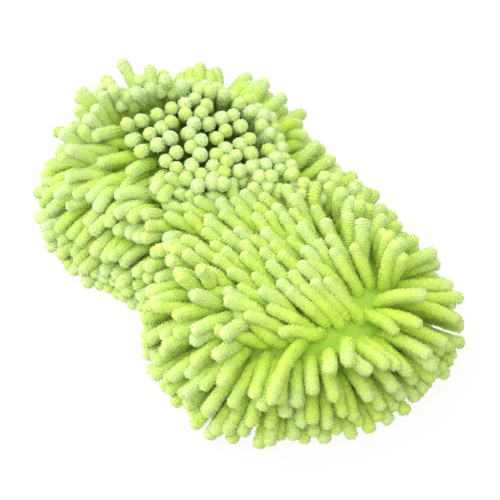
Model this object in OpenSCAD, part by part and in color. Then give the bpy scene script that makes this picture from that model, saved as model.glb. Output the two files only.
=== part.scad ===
// Figure-eight chenille wash mitt, in millimetres.
// A sponge core sits in a cover of chenille cloth. A back panel closes the cover underneath,
// a folded binding tape holds their two hems, and an elastic strap across the waist holds the hand.
// The mitt lies on its binding tape at z = 0, noodles up. +X runs along the mitt, through both lobes.

/* [Pad] */
// Distance from the middle of the mitt to the centre of each lobe
lobe_offset = 54; // [50:1:60]
// Radius of a lobe over the cover cloth, at its widest
lobe_r = 53.5; // [50:0.5:58]
// Half width of the waist over the cover cloth
waist_half = 43; // [40:0.5:46]
// Height of the cover's top above the ground
pad_top = 42; // [40:1:52]
// Radius of the cover's upper edge
shoulder_r = 26; // [22:1:27]
// Radius of the cover's lower edge
hem_r = 5; // [3.5:0.5:6]
// Height of the cover's underside above the ground
pad_bottom = 4.2; // [4:0.1:5]

/* [Cloth] */
// Thickness of the chenille cover cloth, without its noodles
cover_t = 1.2; // [0.8:0.1:1.6]
// Thickness of the back panel
back_t = 1.2; // [0.8:0.1:1.6]
// Thickness of the binding tape
tape_t = 1; // [0.6:0.1:1.3]
// How far the hem lies inside the cover's lower edge
hem_inset = 0.3; // [0.2:0.1:1]
// Gap left between two layers of cloth
layer_gap = 0.15; // [0.1:0.05:0.3]

/* [Hand hollow] */
// Depth of the hollow that the taut strap pulls into the back
hollow_depth = 13; // [9:1:15]
// Distance over which the hollow reaches its depth
hollow_run = 18; // [14:1:24]
// Width of the flat margin between the binding tape and the hollow
margin_w = 4; // [3:0.5:5]

/* [Strap] */
// Width of the elastic strap
strap_w = 45; // [35:1:50]
// Thickness of the elastic strap
strap_t = 1.6; // [1.2:0.1:2]
// Length of each strap end, from the binding tape to the part that lifts
strap_end_len = 9; // [7:1:12]

/* [Noodles] */
// Length of a noodle from its knitted row to its tip
noodle_len = 24; // [20:1:26]
// Width of a noodle across its flats
noodle_w = 5.1; // [4.5:0.1:5.4]
// Distance between neighbouring noodles
noodle_pitch = 10; // [9.8:0.1:12]
// Width of the knitted row that carries the noodles
row_w = 6.6; // [6:0.1:7]
// Thickness of that knitted row
row_t = 1.4; // [1:0.1:1.8]
// Gap between a knitted row and the cover cloth
row_gap = 0.15; // [0.1:0.05:0.3]
// Droop of every noodle on the sides, in degrees
root_droop = 16; // [8:1:18]
// Extra droop of a noodle's tip end on the highest side row, in degrees
tip_droop = 26; // [10:1:28]
// Place along X from which the noodles on the top are combed away
parting_x = 140; // [125:1:180]
// Lean of the combed noodles beside the parting, in degrees
comb_lean = 50; // [30:1:52]

/* [Hidden] */
$fn = 96;
GREEN = [0.70, 0.87, 0.28];
DEEP_GREEN = [0.52, 0.72, 0.16];
FOAM_GREY = [0.86, 0.87, 0.80];
side_rows = 4;
lobe_strips = 3;
joint_gap = 0.2;
noodle_half = noodle_w / 2;
bend_share = 0.5;
cap_share = 0.12;
top_row_share = 0.72;
upright_x = -lobe_offset + shoulder_r / 2;

// Plan of the figure eight: two lobes joined by two concave necks that are tangent to them
neck_r = (pow(lobe_offset, 2) + pow(waist_half, 2) - pow(lobe_r, 2)) / (2 * (lobe_r - waist_half));
neck_y = waist_half + neck_r;
join_angle = atan2(neck_y, -lobe_offset);
neck_end = atan2(lobe_offset, neck_y);

// Steps of the soft surfaces
lobe_steps = 10;
neck_steps = 8;
shoulder_steps = 5;
hem_steps = 2;

// Places along the section: heights, and insets from the pad's outline
wall_foot = pad_bottom + hem_r;
wall_h = pad_top - shoulder_r - wall_foot;
cover_hem = hem_r + hem_inset;
seam = cover_hem + cover_t;
back_hem = seam + layer_gap;
tape_out = cover_hem - layer_gap - tape_t;
tape_in = back_hem + back_t + layer_gap + tape_t;
tape_top = pad_bottom - layer_gap;
hem_z = tape_t + layer_gap;
core_bottom = pad_bottom + max(cover_t, back_t) + layer_gap;
hollow_edge = tape_in + margin_w;
hollow_slope = atan2(hollow_depth, hollow_run);
strap_top = pad_bottom - joint_gap;
strap_wall_y = waist_half - tape_in;
strap_end_y = strap_wall_y - strap_end_len;

// Rows of noodles: round the sides by their height along the section, across the top by X
side_pitch = (wall_h + shoulder_r * PI / 2 * top_row_share) / side_rows;
top_inset = shoulder_r * top_row_share;
top_reach = lobe_offset + lobe_r - top_inset;
top_rows = floor(2 * (top_reach - row_w) / noodle_pitch) + 1;
top_join_x = lobe_offset + (lobe_r - top_inset) * cos(join_angle);
strip_gap = 0.5;

SIDE_NODES = [for (i = [1:side_rows]) str("side_noodles_", i)];
TOP_NODES = [for (i = [1:top_rows]) str("top_noodles_", i)];

function unit(v) = v / norm(v);
function ramp(t) = min(1, max(0, t));

// A place on the plan, as [point, outward normal]. A lobe's angle is about its own centre,
// and a neck's angle is about the centre of its arc. Both run anticlockwise round the pad.
function lobe_place(side, angle, inset) =
    let (n = side * [cos(angle), sin(angle)])
    [side * [lobe_offset, 0] + (lobe_r - inset) * n, n];
function neck_place(side, angle, inset) =
    let (n = side * [sin(angle), cos(angle)])
    [side * [0, neck_y] - (neck_r + inset) * n, n];
function plan_place(lobe, side, angle, inset) =
    lobe ? lobe_place(side, angle, inset) : neck_place(side, angle, inset);

// A place on the cover's section at arc height s above the wall's foot, as [inset, z, slope of the normal]
function section_place(s) =
    let (a = max(0, s - wall_h) / shoulder_r * 180 / PI)
    [shoulder_r * (1 - cos(a)), wall_foot + min(s, wall_h) + shoulder_r * sin(a), a];

// A direction in the upright plane of plan normal n, at a slope
function rise(n, slope) = [cos(slope) * n.x, cos(slope) * n.y, sin(slope)];

// A point that stands off the cover by lift
function cover_point(lobe, side, angle, s, lift) =
    let (e = section_place(s), p = plan_place(lobe, side, angle, e[0]))
    [p[0].x, p[0].y, e[1]] + lift * rise(p[1], e[2]);

// Four corners of a noodle's cross-section about centre c, square to direction d
function noodle_ring(c, d, across) =
    let (u = unit(across - (across * d) * d), v = cross(d, u))
    [for (k = [[-1, -1], [1, -1], [1, 1], [-1, 1]]) c + noodle_half * (k[0] * u + k[1] * v)];

// A noodle's points: its root, a bend if it has one, its shoulder and its tip.
// A root is [centre, direction of the row, normal of the row, direction of the root end, direction of the tip end].
function noodle_points(root, bent) =
    let (
        bend = root[0] + noodle_len * bend_share * root[3],
        tip = bend + noodle_len * (1 - bend_share) * root[4]
    )
    concat(
        noodle_ring(root[0], root[2], root[1]),
        bent ? noodle_ring(bend, unit(root[3] + root[4]), root[1]) : [],
        noodle_ring(tip - noodle_len * cap_share * root[4], root[4], root[1]),
        [tip]
    );

// Faces of a strip of n noodles. Each place along it has a lower, ridge and upper point,
// and the noodles' points follow in turn.
function strip_faces(n, rings) =
    let (each_noodle = 4 * rings + 1, first = 3 * (n + 1))
    concat(
        [[0, 2, 1], [3 * n, 3 * n + 1, 3 * n + 2]],
        [for (j = [0:n - 1]) let (o = 3 * j) each [[o, o + 3, o + 5], [o, o + 5, o + 2]]],
        [for (j = [0:n - 1]) let (o = 3 * j, b = first + j * each_noodle) each [
            [o, b, o + 3], [b, b + 1, o + 3],
            [o + 3, b + 1, o + 4], [o + 4, b + 1, b + 2], [o + 4, b + 2, o + 5],
            [o + 5, b + 2, o + 2], [b + 2, b + 3, o + 2],
            [o + 2, b + 3, o + 1], [o + 1, b + 3, b], [o + 1, b, o]
        ]],
        [for (j = [0:n - 1], r = [0:rings - 2], k = [0:3])
            let (a = first + j * each_noodle + 4 * r, b = a + (k + 1) % 4)
            each [[a + k, b + 4, b], [a + k, a + k + 4, b + 4]]],
        [for (j = [0:n - 1], k = [0:3])
            let (a = first + j * each_noodle + 4 * (rings - 1))
            [a + k, a + 4, a + (k + 1) % 4]]
    );

// A strip is [number of noodles, points]
function make_strip(edges, roots, bent) = [
    len(roots),
    concat(edges, [for (root = roots) each noodle_points(root, bent)])
];

// Several strips in one node, each a closed solid
module strips(list, bent) {
    rings = bent ? 3 : 2;
    starts = [for (i = 0, at = 0; i < len(list); at = at + len(list[i][1]), i = i + 1) at];
    polyhedron(
        points = [for (strip = list) each strip[1]],
        faces = [for (i = [0:len(list) - 1]) each [for (f = strip_faces(list[i][0], rings)) f + starts[i] * [1, 1, 1]]]
    );
}

// Direction that the noodles on the top are combed in, by how far they stand from the parting
function comb(p) =
    let (
        away = unit([p.x - parting_x, p.y]),
        lean = comb_lean * ramp((p.x - upright_x) / (lobe_offset - upright_x))
    )
    [away.x * sin(lean), away.y * sin(lean), cos(lean)];

// Root of a noodle on the sides. The lowest row has the least room to droop,
// and the highest row turns back over the top where it lies behind the parting.
function side_root(lobe, side, angle, s, lift, row) =
    let (
        e = section_place(s),
        n = plan_place(lobe, side, angle, e[0])[1],
        behind = row == side_rows && lobe && side > 0 ? ramp((75 - abs(angle)) / 45) : 0,
        e1 = e[2] - root_droop + behind * (110 - e[2] + root_droop),
        e2 = e1 - (1 - behind) * tip_droop * (row - 1) / (side_rows - 1)
    )
    [cover_point(lobe, side, angle, s, lift), [-n.y, n.x, 0], rise(n, e[2]), rise(n, e1), rise(n, e2)];

// One strip on the sides, from angle start to stop, that stops short of the next strip
function side_strip(lobe, side, start, stop, row) =
    let (
        s = side_pitch * (row - 0.5),
        r = lobe ? lobe_r - section_place(s)[0] : neck_r + section_place(s)[0],
        short = strip_gap / r * 180 / PI,
        a0 = start + short,
        a1 = stop - short,
        n = max(2, round(r * (a1 - a0) * PI / 180 / noodle_pitch)),
        step = (a1 - a0) / n,
        sag = lobe ? r * (1 - cos(step / 2)) : neck_r * (1 - cos(neck_end / neck_steps)),
        curl = s + row_w / 2 > wall_h ? pow(row_w, 2) / (8 * shoulder_r) : 0,
        seat = row_gap + sag + curl
    )
    make_strip(
        [for (j = [0:n]) each [
            cover_point(lobe, side, a0 + step * j, s - row_w / 2, seat),
            cover_point(lobe, side, a0 + step * j, s, seat + row_t),
            cover_point(lobe, side, a0 + step * j, s + row_w / 2, seat)
        ]],
        [for (j = [0:n - 1]) side_root(lobe, side, a0 + step * (j + 0.5), s, seat + row_t, row)],
        row > 1
    );

// Half width of the top that the straight rows cover, at x
function top_half(x) =
    abs(x) > top_join_x
        ? sqrt(max(0, pow(lobe_r - top_inset, 2) - pow(abs(x) - lobe_offset, 2)))
        : neck_y - sqrt(pow(neck_r + top_inset, 2) - pow(x, 2));

// One straight strip across the top
function top_strip(i) =
    let (
        x = (i - (top_rows + 1) / 2) * noodle_pitch,
        half = min(top_half(x - row_w / 2), top_half(x + row_w / 2)),
        n = max(2, round(2 * half / noodle_pitch)),
        step = 2 * half / n,
        seat = pad_top + row_gap
    )
    make_strip(
        [for (j = [0:n]) let (y = step * j - half) each [
            [x + row_w / 2, y, seat],
            [x, y, seat + row_t],
            [x - row_w / 2, y, seat]
        ]],
        [for (j = [0:n - 1]) let (p = [x, step * (j + 0.5) - half, seat + row_t])
            [p, [0, 1, 0], [0, 0, 1], comb(p), comb(p)]],
        false
    );

module side_noodles(row) {
    // The lobes' share is cut into strips, and each neck has one
    step = 2 * join_angle / lobe_strips;
    inner = [for (side = [1, -1]) side_strip(false, side, -neck_end, neck_end, row)];
    outer = [for (side = [1, -1], i = [0:lobe_strips - 1])
        side_strip(true, side, i * step - join_angle, (i + 1) * step - join_angle, row)];
    color(GREEN) strips(concat(outer, inner), row > 1);
}

module top_noodles(i) {
    color(GREEN) strips([top_strip(i)], false);
}

// Places round one side of the plan, from the near end to the far end. The other side mirrors them.
half_plan = concat(
    [for (k = [0:lobe_steps]) [true, 1, join_angle * k / lobe_steps]],
    [for (k = [1:neck_steps - 1]) [false, 1, neck_end * (2 * k / neck_steps - 1)]],
    [for (k = [0:lobe_steps]) [true, -1, join_angle * (k / lobe_steps - 1)]]
);
half_n = len(half_plan) - 1;
ring_n = 2 * half_n;

// A level ring round the pad, from a place on the section given as [inset, z]
function ring(q) =
    let (side = [for (p = half_plan) plan_place(p[0], p[1], p[2], q[0])[0]])
    concat(
        [for (p = side) [p.x, p.y, q[1]]],
        [for (k = [half_n - 1:-1:1]) [side[k].x, -side[k].y, q[1]]]
    );

// Faces between ring r and ring t, and a level cap across ring r that faces up or down
function band_faces(r, t) = [for (i = [0:ring_n - 1]) let (j = (i + 1) % ring_n) each [
    [r * ring_n + i, r * ring_n + j, t * ring_n + j],
    [r * ring_n + i, t * ring_n + j, t * ring_n + i]
]];
function cap_faces(r, up) =
    let (o = r * ring_n)
    [for (k = [0:half_n - 1]) each [
        if (k > 0) up ? [o + k, o + ring_n - k, o + ring_n - k - 1] : [o + k, o + ring_n - k - 1, o + ring_n - k],
        if (k < half_n - 1) up ? [o + k, o + ring_n - k - 1, o + k + 1] : [o + k, o + k + 1, o + ring_n - k - 1]
    ]];

// A soft piece from its section, with a level cap across its first and last places
module capped_skin(section) {
    n = len(section);
    polyhedron(
        points = [for (q = section) each ring(q)],
        faces = concat([for (r = [0:n - 2]) each band_faces(r, r + 1)], cap_faces(0, true), cap_faces(n - 1, false))
    );
}

// A soft piece whose section closes on itself
module hoop_skin(section) {
    n = len(section);
    polyhedron(
        points = [for (q = section) each ring(q)],
        faces = [for (r = [0:n - 1]) each band_faces(r, (r + 1) % n)]
    );
}

// Section of the pad's outside from its flat top to its underside, drawn in by inset, down to bottom
function pad_edge(inset, bottom) =
    let (upper = shoulder_r - inset, lower = wall_foot - bottom)
    concat(
        [for (k = [0:shoulder_steps]) let (a = 90 - 90 * k / shoulder_steps)
            [shoulder_r - upper * cos(a), pad_top - shoulder_r + upper * sin(a)]],
        [for (k = [0:hem_steps]) let (a = 90 * k / hem_steps)
            [inset + lower * (1 - cos(a)), wall_foot - lower * sin(a)]]
    );

// Places on the hollow's slope, moved out by grow: its head, and where it crosses height z
function hollow_head(grow) =
    [hollow_edge + hollow_run - grow * tan(hollow_slope / 2), pad_bottom + hollow_depth + grow];
function hollow_at(grow, z) =
    let (head = hollow_head(grow))
    [head[0] - (head[1] - z) / tan(hollow_slope), z];

function reverse(v) = [for (i = [len(v) - 1:-1:0]) v[i]];

module foam_core() {
    grow = back_t + layer_gap;
    color(FOAM_GREY) capped_skin(concat(
        pad_edge(cover_t + layer_gap, core_bottom),
        [hollow_at(grow, core_bottom), hollow_head(grow)]
    ));
}

module cover_cloth() {
    color(DEEP_GREEN) capped_skin(concat(
        pad_edge(0, pad_bottom),
        [[cover_hem, pad_bottom], [cover_hem, hem_z], [seam, hem_z], [seam, pad_bottom + cover_t]],
        reverse(pad_edge(cover_t, pad_bottom + cover_t))
    ));
}

module back_panel() {
    top = pad_bottom + back_t;
    color(DEEP_GREEN) capped_skin([
        hollow_head(back_t), hollow_at(back_t, top),
        [back_hem, top], [back_hem, hem_z], [back_hem + back_t, hem_z], [back_hem + back_t, pad_bottom],
        hollow_at(0, pad_bottom), hollow_head(0)
    ]);
}

module edge_binding() {
    color(DEEP_GREEN) hoop_skin([
        [tape_out, tape_top], [tape_out, 0], [tape_in, 0], [tape_in, tape_top],
        [tape_in - tape_t, tape_top], [tape_in - tape_t, tape_t],
        [tape_out + tape_t, tape_t], [tape_out + tape_t, tape_top]
    ]);
}

module hand_strap() {
    reach = strap_end_y - joint_gap / 2;
    color(GREEN) translate([-strap_w / 2, -reach, strap_top - strap_t]) cube([strap_w, 2 * reach, strap_t]);
}

// A strap end stops short of the binding tape, whose inside it follows
module strap_end() {
    color(GREEN) difference() {
        translate([-strap_w / 2, strap_end_y + joint_gap / 2, strap_top - strap_t])
            cube([strap_w, 2 * strap_end_len, strap_t]);
        translate([0, neck_y, 0])
            cylinder(h = 4 * pad_bottom, r = neck_y - strap_wall_y + joint_gap, center = true);
    }
}

module strap_end_left() {
    strap_end();
}

module strap_end_right() {
    rotate([0, 0, 180]) strap_end();
}

foam_core();
cover_cloth();
back_panel();
edge_binding();
hand_strap();
strap_end_left();
strap_end_right();
for (i = [1:side_rows]) {
    side_noodles(i);
}
for (i = [1:top_rows]) {
    top_noodles(i);
}
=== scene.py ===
"""Looks of the figure-eight chenille wash mitt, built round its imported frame, in metres."""

import logging
import math
from collections.abc import Callable
from dataclasses import dataclass, field
from enum import Enum

import bpy
import numpy as np
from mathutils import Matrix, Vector
from mathutils.kdtree import KDTree


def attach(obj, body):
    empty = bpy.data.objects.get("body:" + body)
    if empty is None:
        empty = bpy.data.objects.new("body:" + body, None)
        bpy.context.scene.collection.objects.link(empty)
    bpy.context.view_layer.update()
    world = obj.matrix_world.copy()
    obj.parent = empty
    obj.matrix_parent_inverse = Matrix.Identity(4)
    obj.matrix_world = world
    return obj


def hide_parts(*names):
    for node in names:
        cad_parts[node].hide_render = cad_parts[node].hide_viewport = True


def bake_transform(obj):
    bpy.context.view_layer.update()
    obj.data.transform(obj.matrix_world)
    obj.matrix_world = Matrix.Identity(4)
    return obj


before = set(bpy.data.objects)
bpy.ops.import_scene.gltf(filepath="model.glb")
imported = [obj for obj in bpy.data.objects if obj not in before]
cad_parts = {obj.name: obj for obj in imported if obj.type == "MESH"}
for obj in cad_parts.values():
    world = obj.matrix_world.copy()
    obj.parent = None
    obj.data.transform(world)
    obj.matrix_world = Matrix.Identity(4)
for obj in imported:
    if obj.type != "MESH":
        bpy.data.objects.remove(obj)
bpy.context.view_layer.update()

LOG = logging.getLogger("wash_mitt")
MM = 0.001
FULL_TURN = 2 * math.pi
BAKE_MAP = "OFBake"

Colour = tuple[float, float, float, float]
Array = np.ndarray
Section = list[tuple[float, float]]

TOP = (0,)
LOW_SIDES = (1, 2)
HIGH_SIDES = (2, 3, 4)
SIDES = (1, 2, 3, 4)


class Body(str, Enum):
    """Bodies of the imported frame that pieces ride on."""

    PAD = "pad"
    STRAP = "strap"


class Slot(str, Enum):
    """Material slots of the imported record."""

    CHENILLE = "chenille"
    COVER = "cover_cloth"
    BACK = "back_cloth"
    TAPE = "binding_tape"
    ELASTIC = "elastic"
    SPONGE = "sponge"


class Side(Enum):
    """The two sewn ends of the hand strap, by the sign of their Y."""

    LEFT = 1
    RIGHT = -1


def srgb(red: int, green: int, blue: int) -> Colour:
    """Turns a colour as it shows on a screen into the linear colour that a shader takes.

    Args:
        red: red, from 0 to 255.
        green: green, from 0 to 255.
        blue: blue, from 0 to 255.

    Returns:
        The linear colour with an alpha of 1.
    """
    shares = [value / 255 for value in (red, green, blue)]
    linear = [share / 12.92 if share <= 0.04045 else ((share + 0.055) / 1.055) ** 2.4 for share in shares]
    return (linear[0], linear[1], linear[2], 1.0)


WHITE: Colour = (1.0, 1.0, 1.0, 1.0)
PAPER: Colour = (0.9, 0.9, 0.9, 1.0)
SHEEN_TINT = srgb(232, 250, 160)


def smooth(value: Array) -> Array:
    """Eases a value from 0 to 1 between those two limits."""
    share = np.clip(value, 0.0, 1.0)
    return share * share * (3.0 - 2.0 * share)


def ease(value: Array, start: Array | float, run: float) -> Array:
    """Eases from 0 at a start to 1 at the end of a run."""
    return smooth((value - start) / run)


def bell(value: Array, middle: float, width: float) -> Array:
    """Gives a bump that is 1 at its middle and fades past its width."""
    return np.exp(-(((value - middle) / width) ** 2))


def unit(vectors: Array) -> Array:
    """Gives vectors in the last axis a length of 1."""
    return vectors / np.maximum(np.linalg.norm(vectors, axis=-1, keepdims=True), 1e-12)


def rise(level: Array, lift: Array) -> Array:
    """Lifts level directions by angles in radians."""
    return np.concatenate([level * np.cos(lift)[:, None], np.sin(lift)[:, None]], 1)


def maths(operation: str, flipped: bool = False) -> Callable[..., "Sock"]:
    """Makes an operator that adds a Math node.

    Args:
        operation: the node's operation.
        flipped: whether the other value comes first.

    Returns:
        The operator.
    """

    def operator(self: "Sock", value: "Sock | float" = 0.0) -> "Sock":
        """Adds the node to the socket's own tree."""
        first, second = (value, self) if flipped else (self, value)
        return self.tree.node("ShaderNodeMath", {"operation": operation}, {0: first, 1: second})

    return operator


class Sock:
    """An output of a node. Expressions on it add Math nodes to its tree."""

    __add__ = maths("ADD")
    __radd__ = maths("ADD", True)
    __sub__ = maths("SUBTRACT")
    __rsub__ = maths("SUBTRACT", True)
    __mul__ = maths("MULTIPLY")
    __rmul__ = maths("MULTIPLY", True)
    __truediv__ = maths("DIVIDE")
    __rtruediv__ = maths("DIVIDE", True)
    __mod__ = maths("MODULO")
    __rmod__ = maths("MODULO", True)
    sine = maths("SINE")
    root = maths("SQRT")
    at_least = maths("MAXIMUM")
    at_most = maths("MINIMUM")

    def __init__(self, tree: "Tree", socket: bpy.types.NodeSocket) -> None:
        """Keeps the socket with the tree that it belongs to."""
        self.tree = tree
        self.socket = socket

    def other(self, name: str) -> "Sock":
        """Gives another output of the same node."""
        return Sock(self.tree, self.socket.node.outputs[name])

    def wave(self) -> "Sock":
        """Gives a wave between 0 and 1 from an angle in radians."""
        return self.sine() * 0.5 + 0.5

    def ramp(self, low: float, high: float) -> "Sock":
        """Eases from 0 at low to 1 at high."""
        settings = {"interpolation_type": "SMOOTHSTEP"}
        return self.tree.node("ShaderNodeMapRange", settings, {0: self, 1: low, 2: high, 3: 0.0, 4: 1.0})


class Tree:
    """A node tree that is filled from code."""

    def __init__(self, nodes: bpy.types.NodeTree) -> None:
        """Keeps Blender's own tree."""
        self.nodes = nodes

    @classmethod
    def inside(cls, owner: bpy.types.Material | bpy.types.World) -> "Tree":
        """Empties the tree of a material or a world, and gives it.

        Args:
            owner: the material or the world.

        Returns:
            The empty tree.
        """
        owner.use_nodes = True
        owner.node_tree.nodes.clear()
        return cls(owner.node_tree)

    def node(
        self,
        kind: str,
        settings: dict[str, object] | None = None,
        sockets: dict[str | int, object] | None = None,
        out: str | int = 0,
    ) -> Sock | None:
        """Adds a node.

        Args:
            kind: the node's type.
            settings: its properties, which are set first.
            sockets: values or links of its inputs, by name or place.
            out: the output that is given back.

        Returns:
            That output, or None where the node has none.
        """
        made = self.nodes.nodes.new(kind)
        for name, value in (settings or {}).items():
            setattr(made, name, value)
        for key, value in (sockets or {}).items():
            for part in value if isinstance(value, list) else [value]:
                if isinstance(part, Sock):
                    self.nodes.links.new(part.socket, made.inputs[key])
                else:
                    made.inputs[key].default_value = part
        return Sock(self, made.outputs[out]) if len(made.outputs) else None

    def axes(self, place: Sock) -> tuple[Sock, Sock, Sock]:
        """Splits a place into its X, Y and Z."""
        first = self.node("ShaderNodeSeparateXYZ", {}, {0: place}, "X")
        return first, first.other("Y"), first.other("Z")

    def painted(self, name: str) -> Sock:
        """Reads a number that the mesh holds under a name."""
        return self.node("ShaderNodeAttribute", {"attribute_name": name}, out="Fac")

    def mix(self, share: Sock, first: Sock | Colour, second: Sock | Colour) -> Sock:
        """Mixes two colours by a share."""
        settings = {"data_type": "RGBA", "blend_type": "MIX"}
        return self.node("ShaderNodeMix", settings, {0: share, 6: first, 7: second}, 2)

    def noise(self, place: Sock, grain: float, detail: float) -> Sock:
        """Adds noise whose lumps are about one grain wide, in metres."""
        return self.node("ShaderNodeTexNoise", {}, {"Vector": place, "Scale": 1.0 / grain, "Detail": detail})

    def bump(self, height: Sock, depth: float, strength: float) -> Sock:
        """Turns a height from 0 to 1 into a normal, for a depth in metres."""
        return self.node("ShaderNodeBump", {}, {"Height": height, "Distance": depth, "Strength": strength})

    def seen(self) -> Sock:
        """Gives 1 where a ray comes from the camera, straight or by way of gloss or glass."""
        path = self.node("ShaderNodeLightPath", out="Is Camera Ray")
        return path.at_least(path.other("Is Glossy Ray")).at_least(path.other("Is Transmission Ray"))


class GeometryTree(Tree):
    """A Geometry Nodes tree with named inputs, a Seed and a Material among them."""

    KINDS = {float: "NodeSocketFloat", int: "NodeSocketInt", bpy.types.Material: "NodeSocketMaterial"}

    def __init__(self, name: str, inputs: dict[str, type]) -> None:
        """Makes a tree with a geometry in and out, and the named inputs.

        Args:
            name: name of the tree.
            inputs: the kind of each further input, by its name.
        """
        super().__init__(bpy.data.node_groups.new(name, "GeometryNodeTree"))
        face = self.nodes.interface
        face.new_socket("Geometry", in_out="INPUT", socket_type="NodeSocketGeometry")
        self.keys = {
            label: face.new_socket(label, in_out="INPUT", socket_type=self.KINDS[kind]).identifier
            for label, kind in (inputs | {"Seed": int, "Material": bpy.types.Material}).items()
        }
        face.new_socket("Geometry", in_out="OUTPUT", socket_type="NodeSocketGeometry")
        self.nodes.is_modifier = True
        self.start = self.node("NodeGroupInput")

    def given(self, label: str) -> Sock:
        """Gives one of the tree's inputs."""
        return self.start.other(label)

    def place(self) -> Sock:
        """Gives each point's place."""
        return self.node("GeometryNodeInputPosition")

    def held(self, name: str, kind: str = "FLOAT") -> Sock:
        """Reads a value that the geometry's points hold under a name."""
        return self.node("GeometryNodeInputNamedAttribute", {"data_type": kind}, {"Name": name})

    def store(self, geometry: Sock, name: str, value: Sock | float, kind: str = "FLOAT") -> Sock:
        """Keeps a value on the geometry's points under a name."""
        sockets = {"Geometry": geometry, "Name": name, "Value": value}
        return self.node("GeometryNodeStoreNamedAttribute", {"data_type": kind, "domain": "POINT"}, sockets)

    def vector(self, operation: str, sockets: dict[str | int, object]) -> Sock:
        """Adds a Vector Math node."""
        return self.node("ShaderNodeVectorMath", {"operation": operation}, sockets)

    def vector_of(self, x: Sock | float, y: Sock | float, z: Sock | float) -> Sock:
        """Joins three numbers."""
        return self.node("ShaderNodeCombineXYZ", {}, {"X": x, "Y": y, "Z": z})

    def chance(self, limits: tuple[float, float]) -> Sock:
        """Draws a number between two limits for each point, from the Seed input."""
        sockets = {2: limits[0], 3: limits[1], "Seed": self.given("Seed")}
        return self.node("FunctionNodeRandomValue", {"data_type": "FLOAT"}, sockets, 1)

    def resample(self, curve: Sock, step: Sock) -> Sock:
        """Puts points on a curve a step apart."""
        return self.node("GeometryNodeResampleCurve", {"mode": "LENGTH"}, {"Curve": curve, "Length": step})

    def point_to(self, axis: str, way: Sock, start: Sock | None = None, pivot: str = "AUTO") -> Sock:
        """Gives the turn that points an axis along a way, from a turn to start from and about a pivot."""
        sockets = {"Vector": way} if start is None else {"Vector": way, "Rotation": start}
        return self.node("FunctionNodeAlignRotationToVector", {"axis": axis, "pivot_axis": pivot}, sockets)

    def smoothed(self, geometry: Sock) -> Sock:
        """Shades a geometry smooth."""
        return self.node("GeometryNodeSetShadeSmooth", {}, {"Geometry": geometry})

    def end(self, geometry: Sock) -> None:
        """Realizes what the tree made, gives it the material input and ends the tree.

        Args:
            geometry: what the tree made.
        """
        real = self.node("GeometryNodeRealizeInstances", {}, {"Geometry": geometry})
        sockets = {"Geometry": real, "Material": self.given("Material")}
        worn = self.node("GeometryNodeSetMaterial", {}, sockets)
        self.node("NodeGroupOutput", {}, {0: worn})

    def run(self, guide: bpy.types.Mesh, name: str, values: dict[str, object]) -> bpy.types.Object:
        """Runs the tree on a guide mesh and keeps the result as a plain mesh.

        Args:
            guide: the lines that the tree works on.
            name: name of the new piece.
            values: values of the named inputs.

        Returns:
            An object that holds the result, with no modifier.
        """
        host = bpy.data.objects.new(name, guide)
        bpy.context.scene.collection.objects.link(host)
        modifier = host.modifiers.new("shape", "NODES")
        modifier.node_group = self.nodes
        for label, value in values.items():
            modifier[self.keys[label]] = value
        graph = bpy.context.evaluated_depsgraph_get()
        result = bpy.data.meshes.new_from_object(host.evaluated_get(graph), depsgraph=graph)
        host.modifiers.remove(modifier)
        host.data = result
        result.name = name
        bpy.data.meshes.remove(guide)
        return host


@dataclass(frozen=True)
class Finish:
    """A finish. Its fixed values go on the shader, and its paint method varies the rest."""

    name: str
    colour: Colour
    roughness: float = 0.9
    sheen: float = 0.0
    sheen_roughness: float = 0.45
    specular: float = 0.2

    def paint(self, tree: Tree, place: Sock) -> dict[str, Sock]:
        """Gives the shader inputs that vary over the surface."""
        raise NotImplementedError

    def material(self) -> bpy.types.Material:
        """Makes the material.

        Returns:
            The material.
        """
        made = bpy.data.materials.new(self.name)
        tree = Tree.inside(made)
        place = tree.node("ShaderNodeTexCoord", out="Object")
        fixed = {
            "Roughness": self.roughness,
            "Specular IOR Level": self.specular,
            "Sheen Weight": self.sheen,
            "Sheen Roughness": self.sheen_roughness,
            "Sheen Tint": SHEEN_TINT,
        }
        shader = tree.node("ShaderNodeBsdfPrincipled", {}, fixed | self.paint(tree, place))
        tree.node("ShaderNodeOutputMaterial", {}, {"Surface": shader})
        return made


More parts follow.
